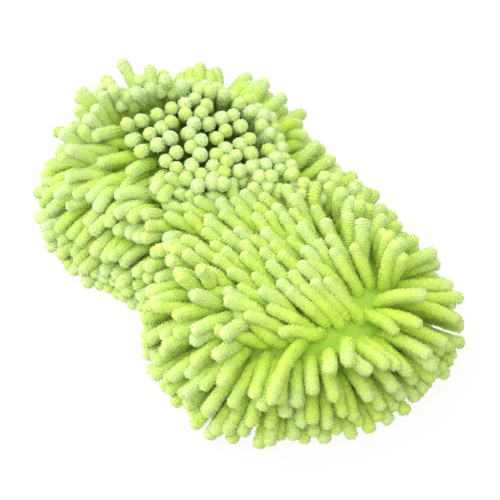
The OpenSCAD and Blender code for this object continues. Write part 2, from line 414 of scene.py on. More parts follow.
@dataclass(frozen=True)
class ChenilleFinish(Finish):
    """Velvety chenille with painted light and shade: painted shade deepens it toward the root and between
    the ribs, painted highlights pale the tip, the ribs, the ends of its pile and fine glints, and painted
    light pales the far (-X) end; its tone also varies at random.
    """

    # pale: the colour of painted highlights, and of the paler side of the random tone
    pale: Colour = srgb(233, 249, 217)
    # root: painted shade, a deeper lime that stands in for the shade falling between noodles near their
    # roots
    root: Colour = srgb(206, 238, 82)
    root_shade_start: float = 0.42
    root_shade_share: float = 0.85
    grain: float = 0.8 * MM
    patch: float = 9 * MM
    # far_light_run and far_light_weight set the painted light that pales the far (-X) end
    far_light_run: float = 130 * MM
    tip_highlight: float = 0.4
    grain_glint_light: float = 1.6
    tone_light: float = 0.25
    patch_light: float = 0.3
    pile_highlight: float = 0.2
    rib_highlight: float = 0.28
    far_light_weight: float = 0.2
    least_light: float = -0.11
    relief: float = 0.8 * MM

    def paint(self, tree: Tree, place: Sock) -> dict[str, Sock]:
        """Paints light and shade into the colour along each noodle, over its ribs and through its pile, over
        a random tone.

        Args:
            tree: the material's tree.
            place: places on the piece.

        Returns:
            The colour and the normal.
        """
        along, tone, pile, rib = [tree.painted(name) for name in ("along", "tone", "pile", "rib")]
        # speck: fine grain that bumps the surface and, in the colour, paints pale glints of shining fibre
        # ends as painted highlights
        speck = tree.noise(place, self.grain, 3.0)
        patch = tree.noise(place, self.patch, 1.0)
        # Painted light: the colour pales toward the far (-X) end, where more light falls
        far_light = tree.axes(place)[0] * (-0.5 / self.far_light_run)
        # Painted highlight: the colour pales toward each noodle's tip, where light falls
        light = along * along * self.tip_highlight + (speck - 0.5) * self.grain_glint_light
        light = light + (tone - 0.5) * self.tone_light + (patch - 0.5) * self.patch_light
        # Painted highlights on the ends of the pile and on the ribs; between ribs the colour stays darker,
        # as painted shade in the grooves
        light = light + pile * self.pile_highlight + rib * self.rib_highlight + self.least_light
        light = light + far_light * self.far_light_weight
        body = tree.mix(light.ramp(0.0, 1.0), self.colour, self.pale)
        # Painted shade: the colour deepens toward each noodle's root, where shade falls between the noodles
        root_shade = (1.0 - along).ramp(self.root_shade_start, 1.0) * self.root_shade_share
        colour = tree.mix(root_shade, body, self.root)
        return {"Base Color": colour, "Normal": tree.bump(speck, self.relief, 0.8)}


@dataclass(frozen=True)
class KnitFinish(Finish):
    """Plain knitted cloth with fine ribs both ways."""

    dark: Colour = srgb(158, 198, 50)
    stitch: float = 0.9 * MM
    course_share: float = 0.8
    mottle: float = 5 * MM
    fuzz: float = 0.6 * MM
    relief: float = 0.35 * MM

    def paint(self, tree: Tree, place: Sock) -> dict[str, Sock]:
        """Draws the loops of the knit, and a soft mottle.

        Args:
            tree: the material's tree.
            place: places on the piece.

        Returns:
            The colour and the normal.
        """
        x, y, _ = tree.axes(place)
        turn = FULL_TURN / self.stitch
        wale = (y * turn).sine()
        course = (x * turn * self.course_share + wale * 0.9).sine()
        loops = (wale * course) * 0.25 + course * 0.25 + 0.5
        mottle = tree.noise(place, self.mottle, 3.0)
        fuzz = tree.noise(place, self.fuzz, 2.0)
        depth = loops * 0.55 + mottle * 0.25 + fuzz * 0.35
        return {
            "Base Color": tree.mix(depth.ramp(0.2, 0.85), self.dark, self.colour),
            "Normal": tree.bump(loops * 0.7 + fuzz * 0.3, self.relief, 0.8),
        }


@dataclass(frozen=True)
class RibbedFinish(Finish):
    """Woven tape or elastic with ribs along one axis."""

    dark: Colour = srgb(120, 160, 34)
    rib: float = 1.5 * MM
    axis: str = "X"
    weft_share: float = 0.7
    fuzz: float = 0.5 * MM
    relief: float = 0.3 * MM

    def paint(self, tree: Tree, place: Sock) -> dict[str, Sock]:
        """Draws the ribs, and the weft that crosses them.

        Args:
            tree: the material's tree.
            place: places on the piece.

        Returns:
            The colour and the normal.
        """
        x, y, _ = tree.axes(place)
        across, down = (x, y) if self.axis == "X" else (y, x)
        ribs = (across * (FULL_TURN / self.rib)).wave()
        weft = (down * (FULL_TURN / (self.weft_share * self.rib)) + ribs * math.pi).wave()
        height = ribs * 0.6 + weft * 0.25 + tree.noise(place, self.fuzz, 2.0) * 0.3
        return {
            "Base Color": tree.mix(height.ramp(0.15, 0.95), self.dark, self.colour),
            "Normal": tree.bump(height, self.relief, 0.8),
        }


@dataclass(frozen=True)
class SpongeFinish(Finish):
    """Open-celled foam."""

    dark: Colour = srgb(196, 192, 160)
    pore: float = 2.2 * MM
    relief: float = 0.8 * MM

    def paint(self, tree: Tree, place: Sock) -> dict[str, Sock]:
        """Draws the pores.

        Args:
            tree: the material's tree.
            place: places on the piece.

        Returns:
            The colour and the normal.
        """
        sockets = {"Vector": place, "Scale": 1 / self.pore}
        cells = tree.node("ShaderNodeTexVoronoi", {"feature": "F1"}, sockets)
        open_share = cells.ramp(0.05, 0.55)
        return {
            "Base Color": tree.mix(open_share, self.dark, self.colour),
            "Normal": tree.bump(open_share, self.relief, 1.0),
        }


@dataclass(frozen=True)
class ThreadFinish(Finish):
    """Twisted sewing thread."""

    dark: Colour = srgb(150, 190, 60)
    twist: float = 0.6 * MM
    relief: float = 0.1 * MM

    def paint(self, tree: Tree, place: Sock) -> dict[str, Sock]:
        """Draws the twist.

        Args:
            tree: the material's tree.
            place: places on the piece.

        Returns:
            The colour and the normal.
        """
        x, y, z = tree.axes(place)
        twist = ((x + y + z) * (FULL_TURN / self.twist)).wave()
        return {
            "Base Color": tree.mix(twist * 0.5, self.colour, self.dark),
            "Normal": tree.bump(twist, self.relief, 0.6),
        }


LIME = srgb(226, 251, 99)
COVER_LIGHT, COVER_DARK = srgb(197, 233, 95), srgb(165, 208, 58)
CHENILLE = ChenilleFinish(
    "lime_chenille", LIME, roughness=0.95, sheen=0.2, sheen_roughness=0.4, specular=0.1
)
COVER_KNIT = KnitFinish("lime_cover_knit", COVER_LIGHT, dark=COVER_DARK, sheen=0.2, stitch=0.9 * MM)
BACK_KNIT = KnitFinish("lime_back_knit", srgb(186, 222, 96), sheen=0.2, stitch=2.0 * MM)
TAPE = RibbedFinish("lime_binding_tape", srgb(170, 210, 66), roughness=0.75, rib=1.0 * MM, axis="Y")
ELASTIC = RibbedFinish("lime_elastic", srgb(180, 218, 80), roughness=0.7, rib=1.5 * MM, axis="X")
SPONGE = SpongeFinish("pale_sponge", srgb(236, 233, 208), roughness=0.95)
THREAD = ThreadFinish("lime_thread", srgb(200, 232, 120), roughness=0.6)


def soft_object(
    name: str,
    points: Array,
    faces: list[tuple[int, ...]],
    finish: bpy.types.Material,
) -> bpy.types.Object:
    """Makes a smooth mesh object at the origin.

    Args:
        name: name of the piece.
        points: its points, in metres.
        faces: its faces, with their points anticlockwise from outside.
        finish: its material.

    Returns:
        The object, which is in the scene.
    """
    mesh = bpy.data.meshes.new(name)
    mesh.from_pydata([tuple(point) for point in points.tolist()], [], faces)
    mesh.polygons.foreach_set("use_smooth", [True] * len(faces))
    mesh.materials.append(finish)
    mesh.update()
    made = bpy.data.objects.new(name, mesh)
    bpy.context.scene.collection.objects.link(made)
    return made


def thicken(piece: bpy.types.Object, thickness: float) -> None:
    """Gives a sheet of cloth its thickness, inward.

    Args:
        piece: the sheet.
        thickness: its thickness.
    """
    wall = piece.modifiers.new("cloth thickness", "SOLIDIFY")
    wall.thickness = thickness
    wall.offset = -1.0


def line_mesh(
    name: str,
    lines: list[Array],
    values: dict[str, list[float]],
    closed: bool = False,
) -> bpy.types.Mesh:
    """Makes a mesh of lines for a Geometry Nodes tree.

    Args:
        name: name of the mesh.
        lines: the points of each line.
        values: one number per line, kept on its points under a name.
        closed: whether each line ends where it starts.

    Returns:
        The mesh.
    """
    points, edges = [], []
    for line in lines:
        first = len(points)
        points.extend(tuple(point) for point in line.tolist())
        edges.extend((first + k, first + k + 1) for k in range(len(line) - 1))
        if closed:
            edges.append((first + len(line) - 1, first))
    mesh = bpy.data.meshes.new(name)
    mesh.from_pydata(points, edges, [])
    for label, numbers in values.items():
        held = mesh.attributes.new(label, "FLOAT", "POINT")
        spread = [number for number, line in zip(numbers, lines, strict=True) for _ in line]
        held.data.foreach_set("value", spread)
    return mesh


@dataclass
class PadForm:
    """Plan and section of the pad, as in the part's source."""

    lobe_offset: float = 54 * MM
    lobe_r: float = 53.5 * MM
    waist_half: float = 43 * MM
    pad_top: float = 42 * MM
    shoulder_r: float = 26 * MM
    hem_r: float = 5 * MM
    pad_bottom: float = 4.2 * MM
    crown: float = 2.0 * MM
    round_steps: int = 720
    lobe_steps: int = 200
    neck_steps: int = 120
    neck_r: float = field(init=False)
    neck_y: float = field(init=False)
    outline: Array = field(init=False)
    outward: Array = field(init=False)

    def __post_init__(self) -> None:
        """Works out the necks, and the pad's outline with its normals, anticlockwise from the near end."""
        lobe, width, reach = self.lobe_r, self.waist_half, self.lobe_offset
        self.neck_r = (reach**2 + width**2 - lobe**2) / (2 * (lobe - width))
        self.neck_y = width + self.neck_r
        join = math.atan2(self.neck_y, -reach)
        stop = math.atan2(reach, self.neck_y)
        near = np.linspace(0.0, join, self.lobe_steps)
        neck = np.linspace(-stop, stop, self.neck_steps)
        out_near = np.stack([np.cos(near), np.sin(near)], 1)
        out_neck = np.stack([np.sin(neck), np.cos(neck)], 1)
        at_near = np.array([reach, 0.0]) + lobe * out_near
        at_neck = np.array([0.0, self.neck_y]) - self.neck_r * out_neck
        half = np.concatenate([at_near, at_neck[1:-1], at_near[::-1] * [-1, 1]])
        half_out = np.concatenate([out_near, out_neck[1:-1], out_near[::-1] * [-1, 1]])
        line = np.concatenate([half, half[-2::-1] * [1, -1]])
        out = np.concatenate([half_out, half_out[-2::-1] * [1, -1]])
        places = np.linspace(0.0, 1.0, self.round_steps, endpoint=False)
        self.outline = self.along_line(line, line, places)
        self.outward = unit(self.along_line(line, out, places))

    @staticmethod
    def along_line(line: Array, values: Array, places: Array) -> Array:
        """Reads values that go with a line's points at shares of its length.

        Args:
            line: points of the line, which ends where it starts.
            values: values at those points.
            places: shares of the line's length.

        Returns:
            The values at those places.
        """
        steps = np.linalg.norm(np.diff(line, axis=0), axis=1)
        length = np.concatenate([[0.0], np.cumsum(steps)])
        wanted = (places % 1.0) * length[-1]
        return np.stack([np.interp(wanted, length, values[:, k]) for k in range(values.shape[1])], 1)

    def ring(self, inset: float, places: Array) -> tuple[Array, Array]:
        """Gives points and normals on the ring that lies inset from the outline.

        Args:
            inset: distance inside the outline.
            places: shares of the way round, anticlockwise from the near end.

        Returns:
            The points and their outward normals, both in plan.
        """
        closed = np.concatenate([self.outline, self.outline[:1]])
        out = np.concatenate([self.outward, self.outward[:1]])
        line = closed - inset * out
        return self.along_line(line, line, places), unit(self.along_line(line, out, places))

    def length(self, inset: float) -> float:
        """Gives the length of the ring that lies inset from the outline."""
        line = self.outline - inset * self.outward
        return float(np.linalg.norm(line - np.roll(line, 1, axis=0), axis=1).sum())

    @property
    def wall_foot(self) -> float:
        """Height of the foot of the cover's upright wall."""
        return self.pad_bottom + self.hem_r

    @property
    def wall_h(self) -> float:
        """Height of that wall."""
        return self.pad_top - self.shoulder_r - self.wall_foot

    def section(self, arc: Array) -> tuple[Array, Array, Array]:
        """Gives places on the cover's section at arc heights above the wall's foot.

        Args:
            arc: arc heights.

        Returns:
            The insets, the heights and the slopes of the normal in radians.
        """
        slope = np.maximum(0.0, arc - self.wall_h) / self.shoulder_r
        inset = self.shoulder_r * (1 - np.cos(slope))
        height = self.wall_foot + np.minimum(arc, self.wall_h) + self.shoulder_r * np.sin(slope)
        return inset, height, slope

    def inset_of(self, plan: Array) -> tuple[Array, Array]:
        """Gives how far points lie inside the outline, and the outline's normal there.

        Args:
            plan: points in plan.

        Returns:
            The insets, which are below 0 outside, and the normals.
        """
        x, y = plan[:, 0], plan[:, 1]
        from_lobe = plan - np.stack([np.sign(x) * self.lobe_offset, np.zeros_like(x)], 1)
        lobe_inset = self.lobe_r - np.linalg.norm(from_lobe, axis=1)
        to_neck = np.stack([np.zeros_like(x), np.where(y < 0, -self.neck_y, self.neck_y)], 1) - plan
        neck_inset = np.linalg.norm(to_neck, axis=1) - self.neck_r
        stop = math.atan2(self.lobe_offset, self.neck_y)
        in_neck = np.abs(np.arctan2(x, np.abs(to_neck[:, 1]))) < stop
        inset = np.where(in_neck, neck_inset, lobe_inset)
        normal = np.where(in_neck[:, None], unit(to_neck), unit(from_lobe))
        return inset, normal

    def crown_at(self, inset: Array) -> Array:
        """Gives how far the top stands above its flat height at an inset."""
        return self.crown * ease(inset, 0.3 * self.shoulder_r, 1.4 * self.shoulder_r)

    def clearance(self, points: Array) -> tuple[Array, Array]:
        """Gives the distance of points from the cover's outside, and the direction away from it.

        Args:
            points: points in space.

        Returns:
            The distances, which are below 0 inside, and the directions.
        """
        inset, normal = self.inset_of(points[:, :2])
        sideways = np.maximum(self.shoulder_r - inset, 0.0)
        base = self.pad_top - self.shoulder_r + self.crown_at(inset)
        upward = np.maximum(points[:, 2] - base, 0.0)
        reach = np.maximum(np.hypot(sideways, upward), 1e-9)
        away = np.concatenate([normal * (sideways / reach)[:, None], (upward / reach)[:, None]], 1)
        return reach - self.shoulder_r, away


@dataclass(frozen=True)
class Stray:
    """A noodle of the near lobe that lies its own way."""

    tier: int
    angle: float
    root: tuple[float, float, float]
    tip: tuple[float, float, float]
    share: float = 1.0
    off_tier: float = 999.0

    def pick(self, tiers: Array, angles: Array) -> int:
        """Gives the number of the noodle that it stands for."""
        return int(np.argmin(np.abs(angles - self.angle) + self.off_tier * (tiers != self.tier)))


class Measure(Enum):
    """What the middle and width of a trim are measured by."""

    NEAR_TURN = "degrees round the near lobe"
    FAR_TURN = "degrees round the far lobe"
    FAR_END = "degrees round the far lobe, to either side"
    WAIST = "millimetres from the waist, along the front"
    CROWN_EDGE = "millimetres in front of the cluster of noodle ends"
    NEAR_TOP = "the whole top in front of the waist"


@dataclass(frozen=True)
class Trim:
    """A stretch of the pile where noodles of some tiers are longer or shorter, by a share of length."""

    change: float
    tiers: tuple[int, ...]
    measure: Measure
    middle: float = 0.0
    width: float = 1.0


@dataclass(frozen=True)
class TopComb:
    """How the noodles of the near top are combed, in degrees and millimetres."""

    turn: float = 14
    turn_per_mm: float = 0.7
    turn_limits: tuple[float, float] = (-20, 48)
    swing: float = 70
    swing_start: float = 20
    swing_run: float = 16
    lift: float = 30
    back_lift: float = 26
    back_start: float = 18
    back_run: float = 14
    corner_lift: float = 20
    corner_start: tuple[float, float] = (45, 14)
    corner_run: tuple[float, float] = (25, 12)
    tip_lift: float = 0.55

    def angles(self, x: Array, y: Array) -> tuple[Array, Array]:
        """Gives the headings and lifts of noodles.

        Args:
            x: X of their roots.
            y: Y of their roots.

        Returns:
            The headings and the lifts at the root, in radians.
        """
        turn = np.clip(self.turn - self.turn_per_mm * y, *self.turn_limits)
        heading = np.radians(180 + turn - self.swing * ease(y, self.swing_start, self.swing_run))
        corner = self.corner_lift * ease(y, self.corner_start[1], self.corner_run[1])
        corner = corner * ease(x, self.corner_start[0], self.corner_run[0])
        lift = np.radians(self.lift + self.back_lift * ease(y, self.back_start, self.back_run) + corner)
        return heading, lift


@dataclass(frozen=True)
class SideComb:
    """How the noodles round the sides lean and droop, in degrees and millimetres, by tier."""

    droops: tuple[int, ...] = (56, 14, 36, 42, 46)
    top_lean: float = 50
    lean_drop: float = 12
    behind_start: tuple[float, ...] = (-0.2, -0.2, -0.2, -0.2, -0.6)
    behind_run: float = 0.6
    upright: float = 50
    upright_hold: float = 0.6
    tall_range: tuple[float, float] = (-10.0, 16.0)
    tall_more: float = 12
    tall_chance: float = 0.08
    tall_near: float = 10
    far_x: float = -10
    low_droop: float = 20
    laid: float = 16
    laid_start: float = 20
    laid_run: float = 30
    laid_side: float = 0.75
    laid_side_run: float = 0.5

    def angles(
        self,
        tiers: Array,
        x: Array,
        slope: Array,
        away: Array,
        draw: np.random.Generator,
    ) -> tuple[Array, Array, Array]:
        """Gives the leans and droops of noodles.

        Args:
            tiers: their tiers.
            x: X of their roots.
            slope: slope of the cover's normal at their roots.
            away: how much they face away from the photograph's side, from -1 to 1.
            draw: source of the height of the third tier behind.

        Returns:
            The leans at the root, the droops from root to tip, and the shares that lie behind.
        """
        behind = ease(away, np.array(self.behind_start)[tiers], self.behind_run)
        tall = draw.uniform(*self.tall_range, len(x))
        tall = tall + self.tall_more * (draw.uniform(0.0, 1.0, len(x)) < self.tall_chance)
        tall = np.where(x < self.far_x, tall, self.tall_near)
        upright = behind * np.select([tiers == 4, tiers == 3], [self.upright, tall], 0)
        laid = ease(-x, self.laid_start, self.laid_run) * ease(-away, -self.laid_side, self.laid_side_run)
        lean = np.where(tiers > 0, slope, self.top_lean) - self.lean_drop + upright - self.laid * laid
        droop = np.array(self.droops)[tiers] - self.upright_hold * upright
        droop = droop + self.low_droop * behind * (tiers < 3)
        droop = droop + self.laid * laid * (tiers > 2)
        return lean, droop, behind


@dataclass(frozen=True)
class Crown:
    """The cluster of noodle ends on the far lobe, whose noodles stand toward the photograph's side."""

    axis: tuple[float, float, float] = (0.63, -0.39, 0.67)
    centre: tuple[float, float] = (-52 * MM, 8 * MM)
    spread: float = 0.22
    side_spread: float = 0.1
    left_spread: float = 0.2
    left_run: float = 0.7
    edge_shift: float = 10
    edge_slope: float = 0.7
    edge_run: float = 14
    front: float = 21
    front_run: float = 10
    level: tuple[float, float] = (0.7, 1.0)
    ring_start: float = 0.3
    ring_run: float = 0.5
    ring_slope: float = 0.012

    def ways(self, plan: Array, view: tuple[float, float]) -> Array:
        """Gives the directions of its noodles.

        Args:
            plan: their roots in plan, as shares of the lobe's radius from its centre.
            view: direction of the photograph's side in plan.

        Returns:
            The directions.
        """
        leftward = plan @ np.array([view[1], -view[0]])
        ahead = np.outer(plan @ np.array(view), view)
        sideways = (self.side_spread + self.left_spread * ease(leftward, 0.0, self.left_run))[:, None]
        offset = self.spread * ahead + sideways * (plan - ahead)
        return unit(np.array(self.axis) + np.concatenate([offset, np.zeros((len(plan), 1))], 1))

    def far(self, x: Array, y: Array) -> Array:
        """Gives 1 on the cluster's side of its edge and 0 on the other side."""
        return smooth((-self.edge_shift + self.edge_slope * y - x) / self.edge_run + 0.5)

    def past_edge(self, x: Array, y: Array) -> Array:
        """Gives how far places lie in front of its edge, in millimetres."""
        return x + self.edge_shift - self.edge_slope * y

    def shares(self, tiers: Array, y: Array, away: Array, draw: np.random.Generator) -> Array:
        """Gives how much noodles on its side belong to it.

        Args:
            tiers: their tiers.
            y: Y of their roots, in millimetres.
            away: how much they face away from the photograph's side.
            draw: source of the small differences in the ring behind.

        Returns:
            The shares.
        """
        level = draw.uniform(*self.level, len(y))
        inner = smooth((y + self.front) / self.front_run + 0.5)
        ring = (tiers == 4) * ease(away + self.ring_slope * y, self.ring_start, self.ring_run) * level
        return np.where(tiers == 0, inner, ring)


@dataclass
class Settling:
    """Lets noodles push each other aside until they lie on the pad, on the ground and beside one another."""

    pad: PadForm
    thickness: float
    joints: int
    contact: float = 6.2 * MM
    foot_contact: float = 0.8
    look_share: float = 1.5
    look_every: int = 8
    steps: int = 220
    last_steps: int = 40
    pull: float = 0.035
    last_pull: float = 0.006
    straighten: float = 0.12
    push: float = 0.35
    pad_gap: float = 0.45
    ground_gap: float = 0.73
    off_root: float = 0.9

    def neighbours(self, points: Array) -> tuple[Array, Array]:
        """Lists pairs of joints on different noodles that may touch.

        Args:
            points: all joints, noodle after noodle.

        Returns:
            The first and second joints of the pairs.
        """
        tree = KDTree(len(points))
        for index, point in enumerate(points.tolist()):
            tree.insert(point, index)
        tree.balance()
        first, second = [], []
        for index, point in enumerate(points.tolist()):
            noodle = index // self.joints
            for _, other, _ in tree.find_range(point, self.look_share * self.contact):
                if other > index and other // self.joints != noodle:
                    first.append(index)
                    second.append(other)
        return np.array(first), np.array(second)

    def settle(self, rest: Array, lengths: Array) -> Array:
        """Settles the noodles.

        Args:
            rest: centrelines as they were combed.
            lengths: length of each noodle.

        Returns:
            The settled centrelines.
        """
        line = rest.copy()
        step_length = (lengths / (self.joints - 1))[:, None]
        free = np.tile(np.clip((np.arange(self.joints) - 0.5) / 2.0, 0.0, 1.0), len(rest))
        pairs = self.neighbours(line.reshape(-1, 3))
        for step in range(self.steps):
            if step % self.look_every == self.look_every - 1:
                pairs = self.neighbours(line.reshape(-1, 3))
            pull = self.pull if step < self.steps - self.last_steps else self.last_pull
            line[:, 2:] += pull * (rest[:, 2:] - line[:, 2:])
            middle = 0.5 * (line[:, :-2] + line[:, 2:])
            line[:, 1:-1] += self.straighten * (middle - line[:, 1:-1])
            flat = line.reshape(-1, 3)
            self.part(flat, pairs, free)
            self.rest_on(flat, free)
            for k in range(1, self.joints):
                way = unit(line[:, k] - line[:, k - 1])
                line[:, k] = line[:, k - 1] + way * step_length
            line[:, :2] = rest[:, :2]
        return line

    def part(self, points: Array, pairs: tuple[Array, Array], free: Array) -> None:
        """Moves touching joints apart.

        Args:
            points: all joints, which are changed.
            pairs: joints that may touch.
            free: how freely each joint moves.
        """
        first, second = pairs
        share = np.tile(np.linspace(self.foot_contact, 1.0, self.joints), len(points) // self.joints)
        gap = points[first] - points[second]
        apart = np.maximum(np.linalg.norm(gap, axis=1), 1e-9)
        push = np.maximum(self.contact * 0.5 * (share[first] + share[second]) - apart, 0.0) * self.push
        move = gap * (push / apart)[:, None]
        for axis in range(3):
            change = np.bincount(first, move[:, axis], len(points))
            change -= np.bincount(second, move[:, axis], len(points))
            points[:, axis] += change * free

    def rest_on(self, points: Array, free: Array) -> None:
        """Keeps joints outside the pad and above the ground.

        Args:
            points: all joints, which are changed.
            free: how freely each joint moves.
        """
        gap, away = self.pad.clearance(points)
        need = np.maximum(self.pad_gap * self.thickness - gap, 0.0) * free
        points += away * need[:, None]
        lowest = np.where(free > self.off_root, self.ground_gap * self.thickness, points[:, 2])
        points[:, 2] = np.maximum(points[:, 2], lowest)


@dataclass(frozen=True)
class Noodle:
    """Shape of one chenille noodle: a lumpy, ribbed core under rings of tufts."""

    thickness: float = 6.1 * MM
    sides: int = 10
    rib_pitch: float = 1.3 * MM
    rib_girth: tuple[float, float] = (0.94, 0.1)
    tone_girth: tuple[float, float] = (0.93, 0.14)
    tip_round: float = 0.9
    tip_least: float = 0.006
    foot_run: float = 4 * MM
    foot_girth: tuple[float, float] = (0.84, 0.16)
    lump: float = 6 * MM
    lump_share: float = 0.35
    knot: float = 1.3 * MM
    knot_share: float = 0.2
    tufts_round: int = 11
    tuft_length: float = 0.5 * MM
    tuft_overlap: float = 1.15
    tuft_depth: float = 0.4
    tuft_lean: tuple[float, float, float] = (0.3, 0.5, 0.3)
    tuft_grow: tuple[float, float] = (0.65, 1.25)
    tuft_spin: tuple[float, float] = (0.0, 6.283)
    tip_tufts: tuple[float, float] = (0.5, 0.8)

    def values(self) -> dict[str, object]:
        """Gives the values of the tree's inputs, apart from its Seed.

        Returns:
            The values, by input.
        """
        return {
            "Thickness": self.thickness, "Sides": self.sides, "Rib pitch": self.rib_pitch,
            "Tufts": self.tufts_round, "Tuft length": self.tuft_length, "Material": CHENILLE.material(),
        }

    def tree(self) -> GeometryTree:
        """Builds the tree that turns centrelines into noodles with rings of tufts.

        Returns:
            The tree.
        """
        inputs = {"Thickness": float, "Sides": int, "Rib pitch": float, "Tufts": int, "Tuft length": float}
        tree = GeometryTree("noodle_pile", inputs)
        line = tree.node("GeometryNodeMeshToCurve", {}, {"Mesh": tree.start})
        line = tree.node("GeometryNodeCurveSplineType", {"spline_type": "CATMULL_ROM"}, {"Curve": line})
        core = tree.resample(line, tree.given("Rib pitch") * 0.5)
        body = self.sweep(tree, core, tree.given("Sides"), tree.node("GeometryNodeInputIndex") % 2.0)
        body = tree.smoothed(self.swell(tree, body, self.knot, self.knot_share))
        ribs = tree.resample(line, tree.given("Rib pitch"))
        spun = {"Curve": ribs, "Tilt": tree.chance(self.tuft_spin)}
        ribs = tree.node("GeometryNodeSetCurveTilt", {}, spun)
        # The tufts count as lying on a rib, so the finish gives them the ribs' painted highlight
        cage = self.sweep(tree, ribs, tree.given("Tufts"), 1.0)
        tree.end(tree.node("GeometryNodeJoinGeometry", {}, {"Geometry": [body, self.tufts(tree, cage)]}))
        return tree

    @staticmethod
    def swell(tree: GeometryTree, skin: Sock, size: float, share: float) -> Sock:
        """Raises and sinks a skin in soft lumps.

        Args:
            tree: the tree.
            skin: the skin.
            size: size of the lumps.
            share: their height as a share of the noodle's thickness.

        Returns:
            The lumpy skin.
        """
        lumps = tree.noise(tree.place(), size, 2.0)
        height = (lumps - 0.5) * tree.given("Thickness") * share
        offset = tree.vector("SCALE", {0: tree.node("GeometryNodeInputNormal"), "Scale": height})
        return tree.node("GeometryNodeSetPosition", {}, {"Geometry": skin, "Offset": offset})

    def sweep(self, tree: GeometryTree, line: Sock, sides: Sock, rib: Sock | float) -> Sock:
        """Sweeps a round section along the noodles, narrow at the foot and rounded at the tip.

        Args:
            tree: the tree.
            line: the noodles' centrelines.
            sides: number of sides of the section.
            rib: 1 on a rib and 0 between ribs.

        Returns:
            The swept surface, with its along, around, girth, rib, way and spine attributes.
        """
        along = tree.node("GeometryNodeSplineParameter")
        total = tree.node("GeometryNodeSplineLength")
        radius = tree.given("Thickness") * 0.5
        to_tip = (total - along.other("Length")) / (radius * self.tip_round)
        to_tip = to_tip.at_least(self.tip_least).at_most(1.0)
        foot = (along.other("Length") / self.foot_run).at_most(1.0) * self.foot_girth[1] + self.foot_girth[0]
        girth = (to_tip * (2.0 - to_tip)).root() * foot
        for name, value in {"along": along, "girth": girth, "rib": rib}.items():
            line = tree.store(line, name, value)
        for name, value in {"way": tree.node("GeometryNodeInputTangent"), "spine": tree.place()}.items():
            line = tree.store(line, name, value, "FLOAT_VECTOR")
        circle = {"Resolution": sides, "Radius": 1.0}
        circle = tree.node("GeometryNodeCurvePrimitiveCircle", {"mode": "RADIUS"}, circle)
        circle = tree.store(circle, "around", tree.node("GeometryNodeSplineParameter"))
        scale = radius * girth * (self.tone_girth[0] + tree.held("tone") * self.tone_girth[1])
        scale = scale * (self.rib_girth[0] + rib * self.rib_girth[1])
        sockets = {"Curve": line, "Profile Curve": circle, "Scale": scale, "Fill Caps": True}
        skin = tree.node("GeometryNodeCurveToMesh", {}, sockets)
        return self.swell(tree, skin, self.lump, self.lump_share)

    def tufts(self, tree: GeometryTree, cage: Sock) -> Sock:
        """Stands a tuft on each point of a cage, wide round the noodle and thin along it.

        Args:
            tree: the tree.
            cage: rings of points on the noodles.

        Returns:
            The tufts, as instances.
        """
        cone = {"Vertices": 3, "Radius Top": 0.0, "Radius Bottom": 1.0, "Depth": 1.0}
        tuft = tree.node("GeometryNodeMeshCone", {"fill_type": "NGON"}, cone)
        skew, _, height = tree.axes(tree.place())
        # pile, the height up each tuft, also carries the finish's painted highlight on the tuft ends
        tuft = tree.store(tree.store(tuft, "pile", height), "skew", skew)
        wide = tree.given("Thickness") * (self.tuft_overlap * math.pi / 1.5) / tree.given("Tufts")
        size = tree.vector_of(wide, tree.given("Rib pitch") * self.tuft_depth, tree.given("Tuft length"))
        tuft = tree.node("GeometryNodeTransform", {}, {"Geometry": tuft, "Scale": size})
        way, spine = [tree.held(name, "FLOAT_VECTOR") for name in ("way", "spine")]
        girth = tree.held("girth")
        outward = tree.vector("NORMALIZE", {0: tree.vector("SUBTRACT", {0: tree.place(), 1: spine})})
        forward = (1.0 - girth) * tree.held("along").ramp(*self.tip_tufts) * 2.0
        outward = tree.vector("ADD", {0: outward, 1: tree.vector("SCALE", {0: way, "Scale": forward})})
        upright = tree.point_to("Z", outward)
        turned = tree.point_to("Y", way, upright, "Z")
        low = tuple(-limit for limit in self.tuft_lean)
        limits = {0: low, 1: self.tuft_lean, "Seed": tree.given("Seed")}
        lean = tree.node("FunctionNodeRandomValue", {"data_type": "FLOAT_VECTOR"}, limits)
        turns = {0: turned, 1: tree.node("FunctionNodeEulerToRotation", {}, {0: lean})}
        turned = tree.node("FunctionNodeRotateRotation", {"rotation_space": "LOCAL"}, turns)
        grow = tree.vector_of(girth, 1.0, tree.chance(self.tuft_grow) * (girth * 0.5 + 0.5))
        sockets = {"Points": cage, "Instance": tuft, "Rotation": turned, "Scale": grow}
        return tree.node("GeometryNodeInstanceOnPoints", {}, sockets)


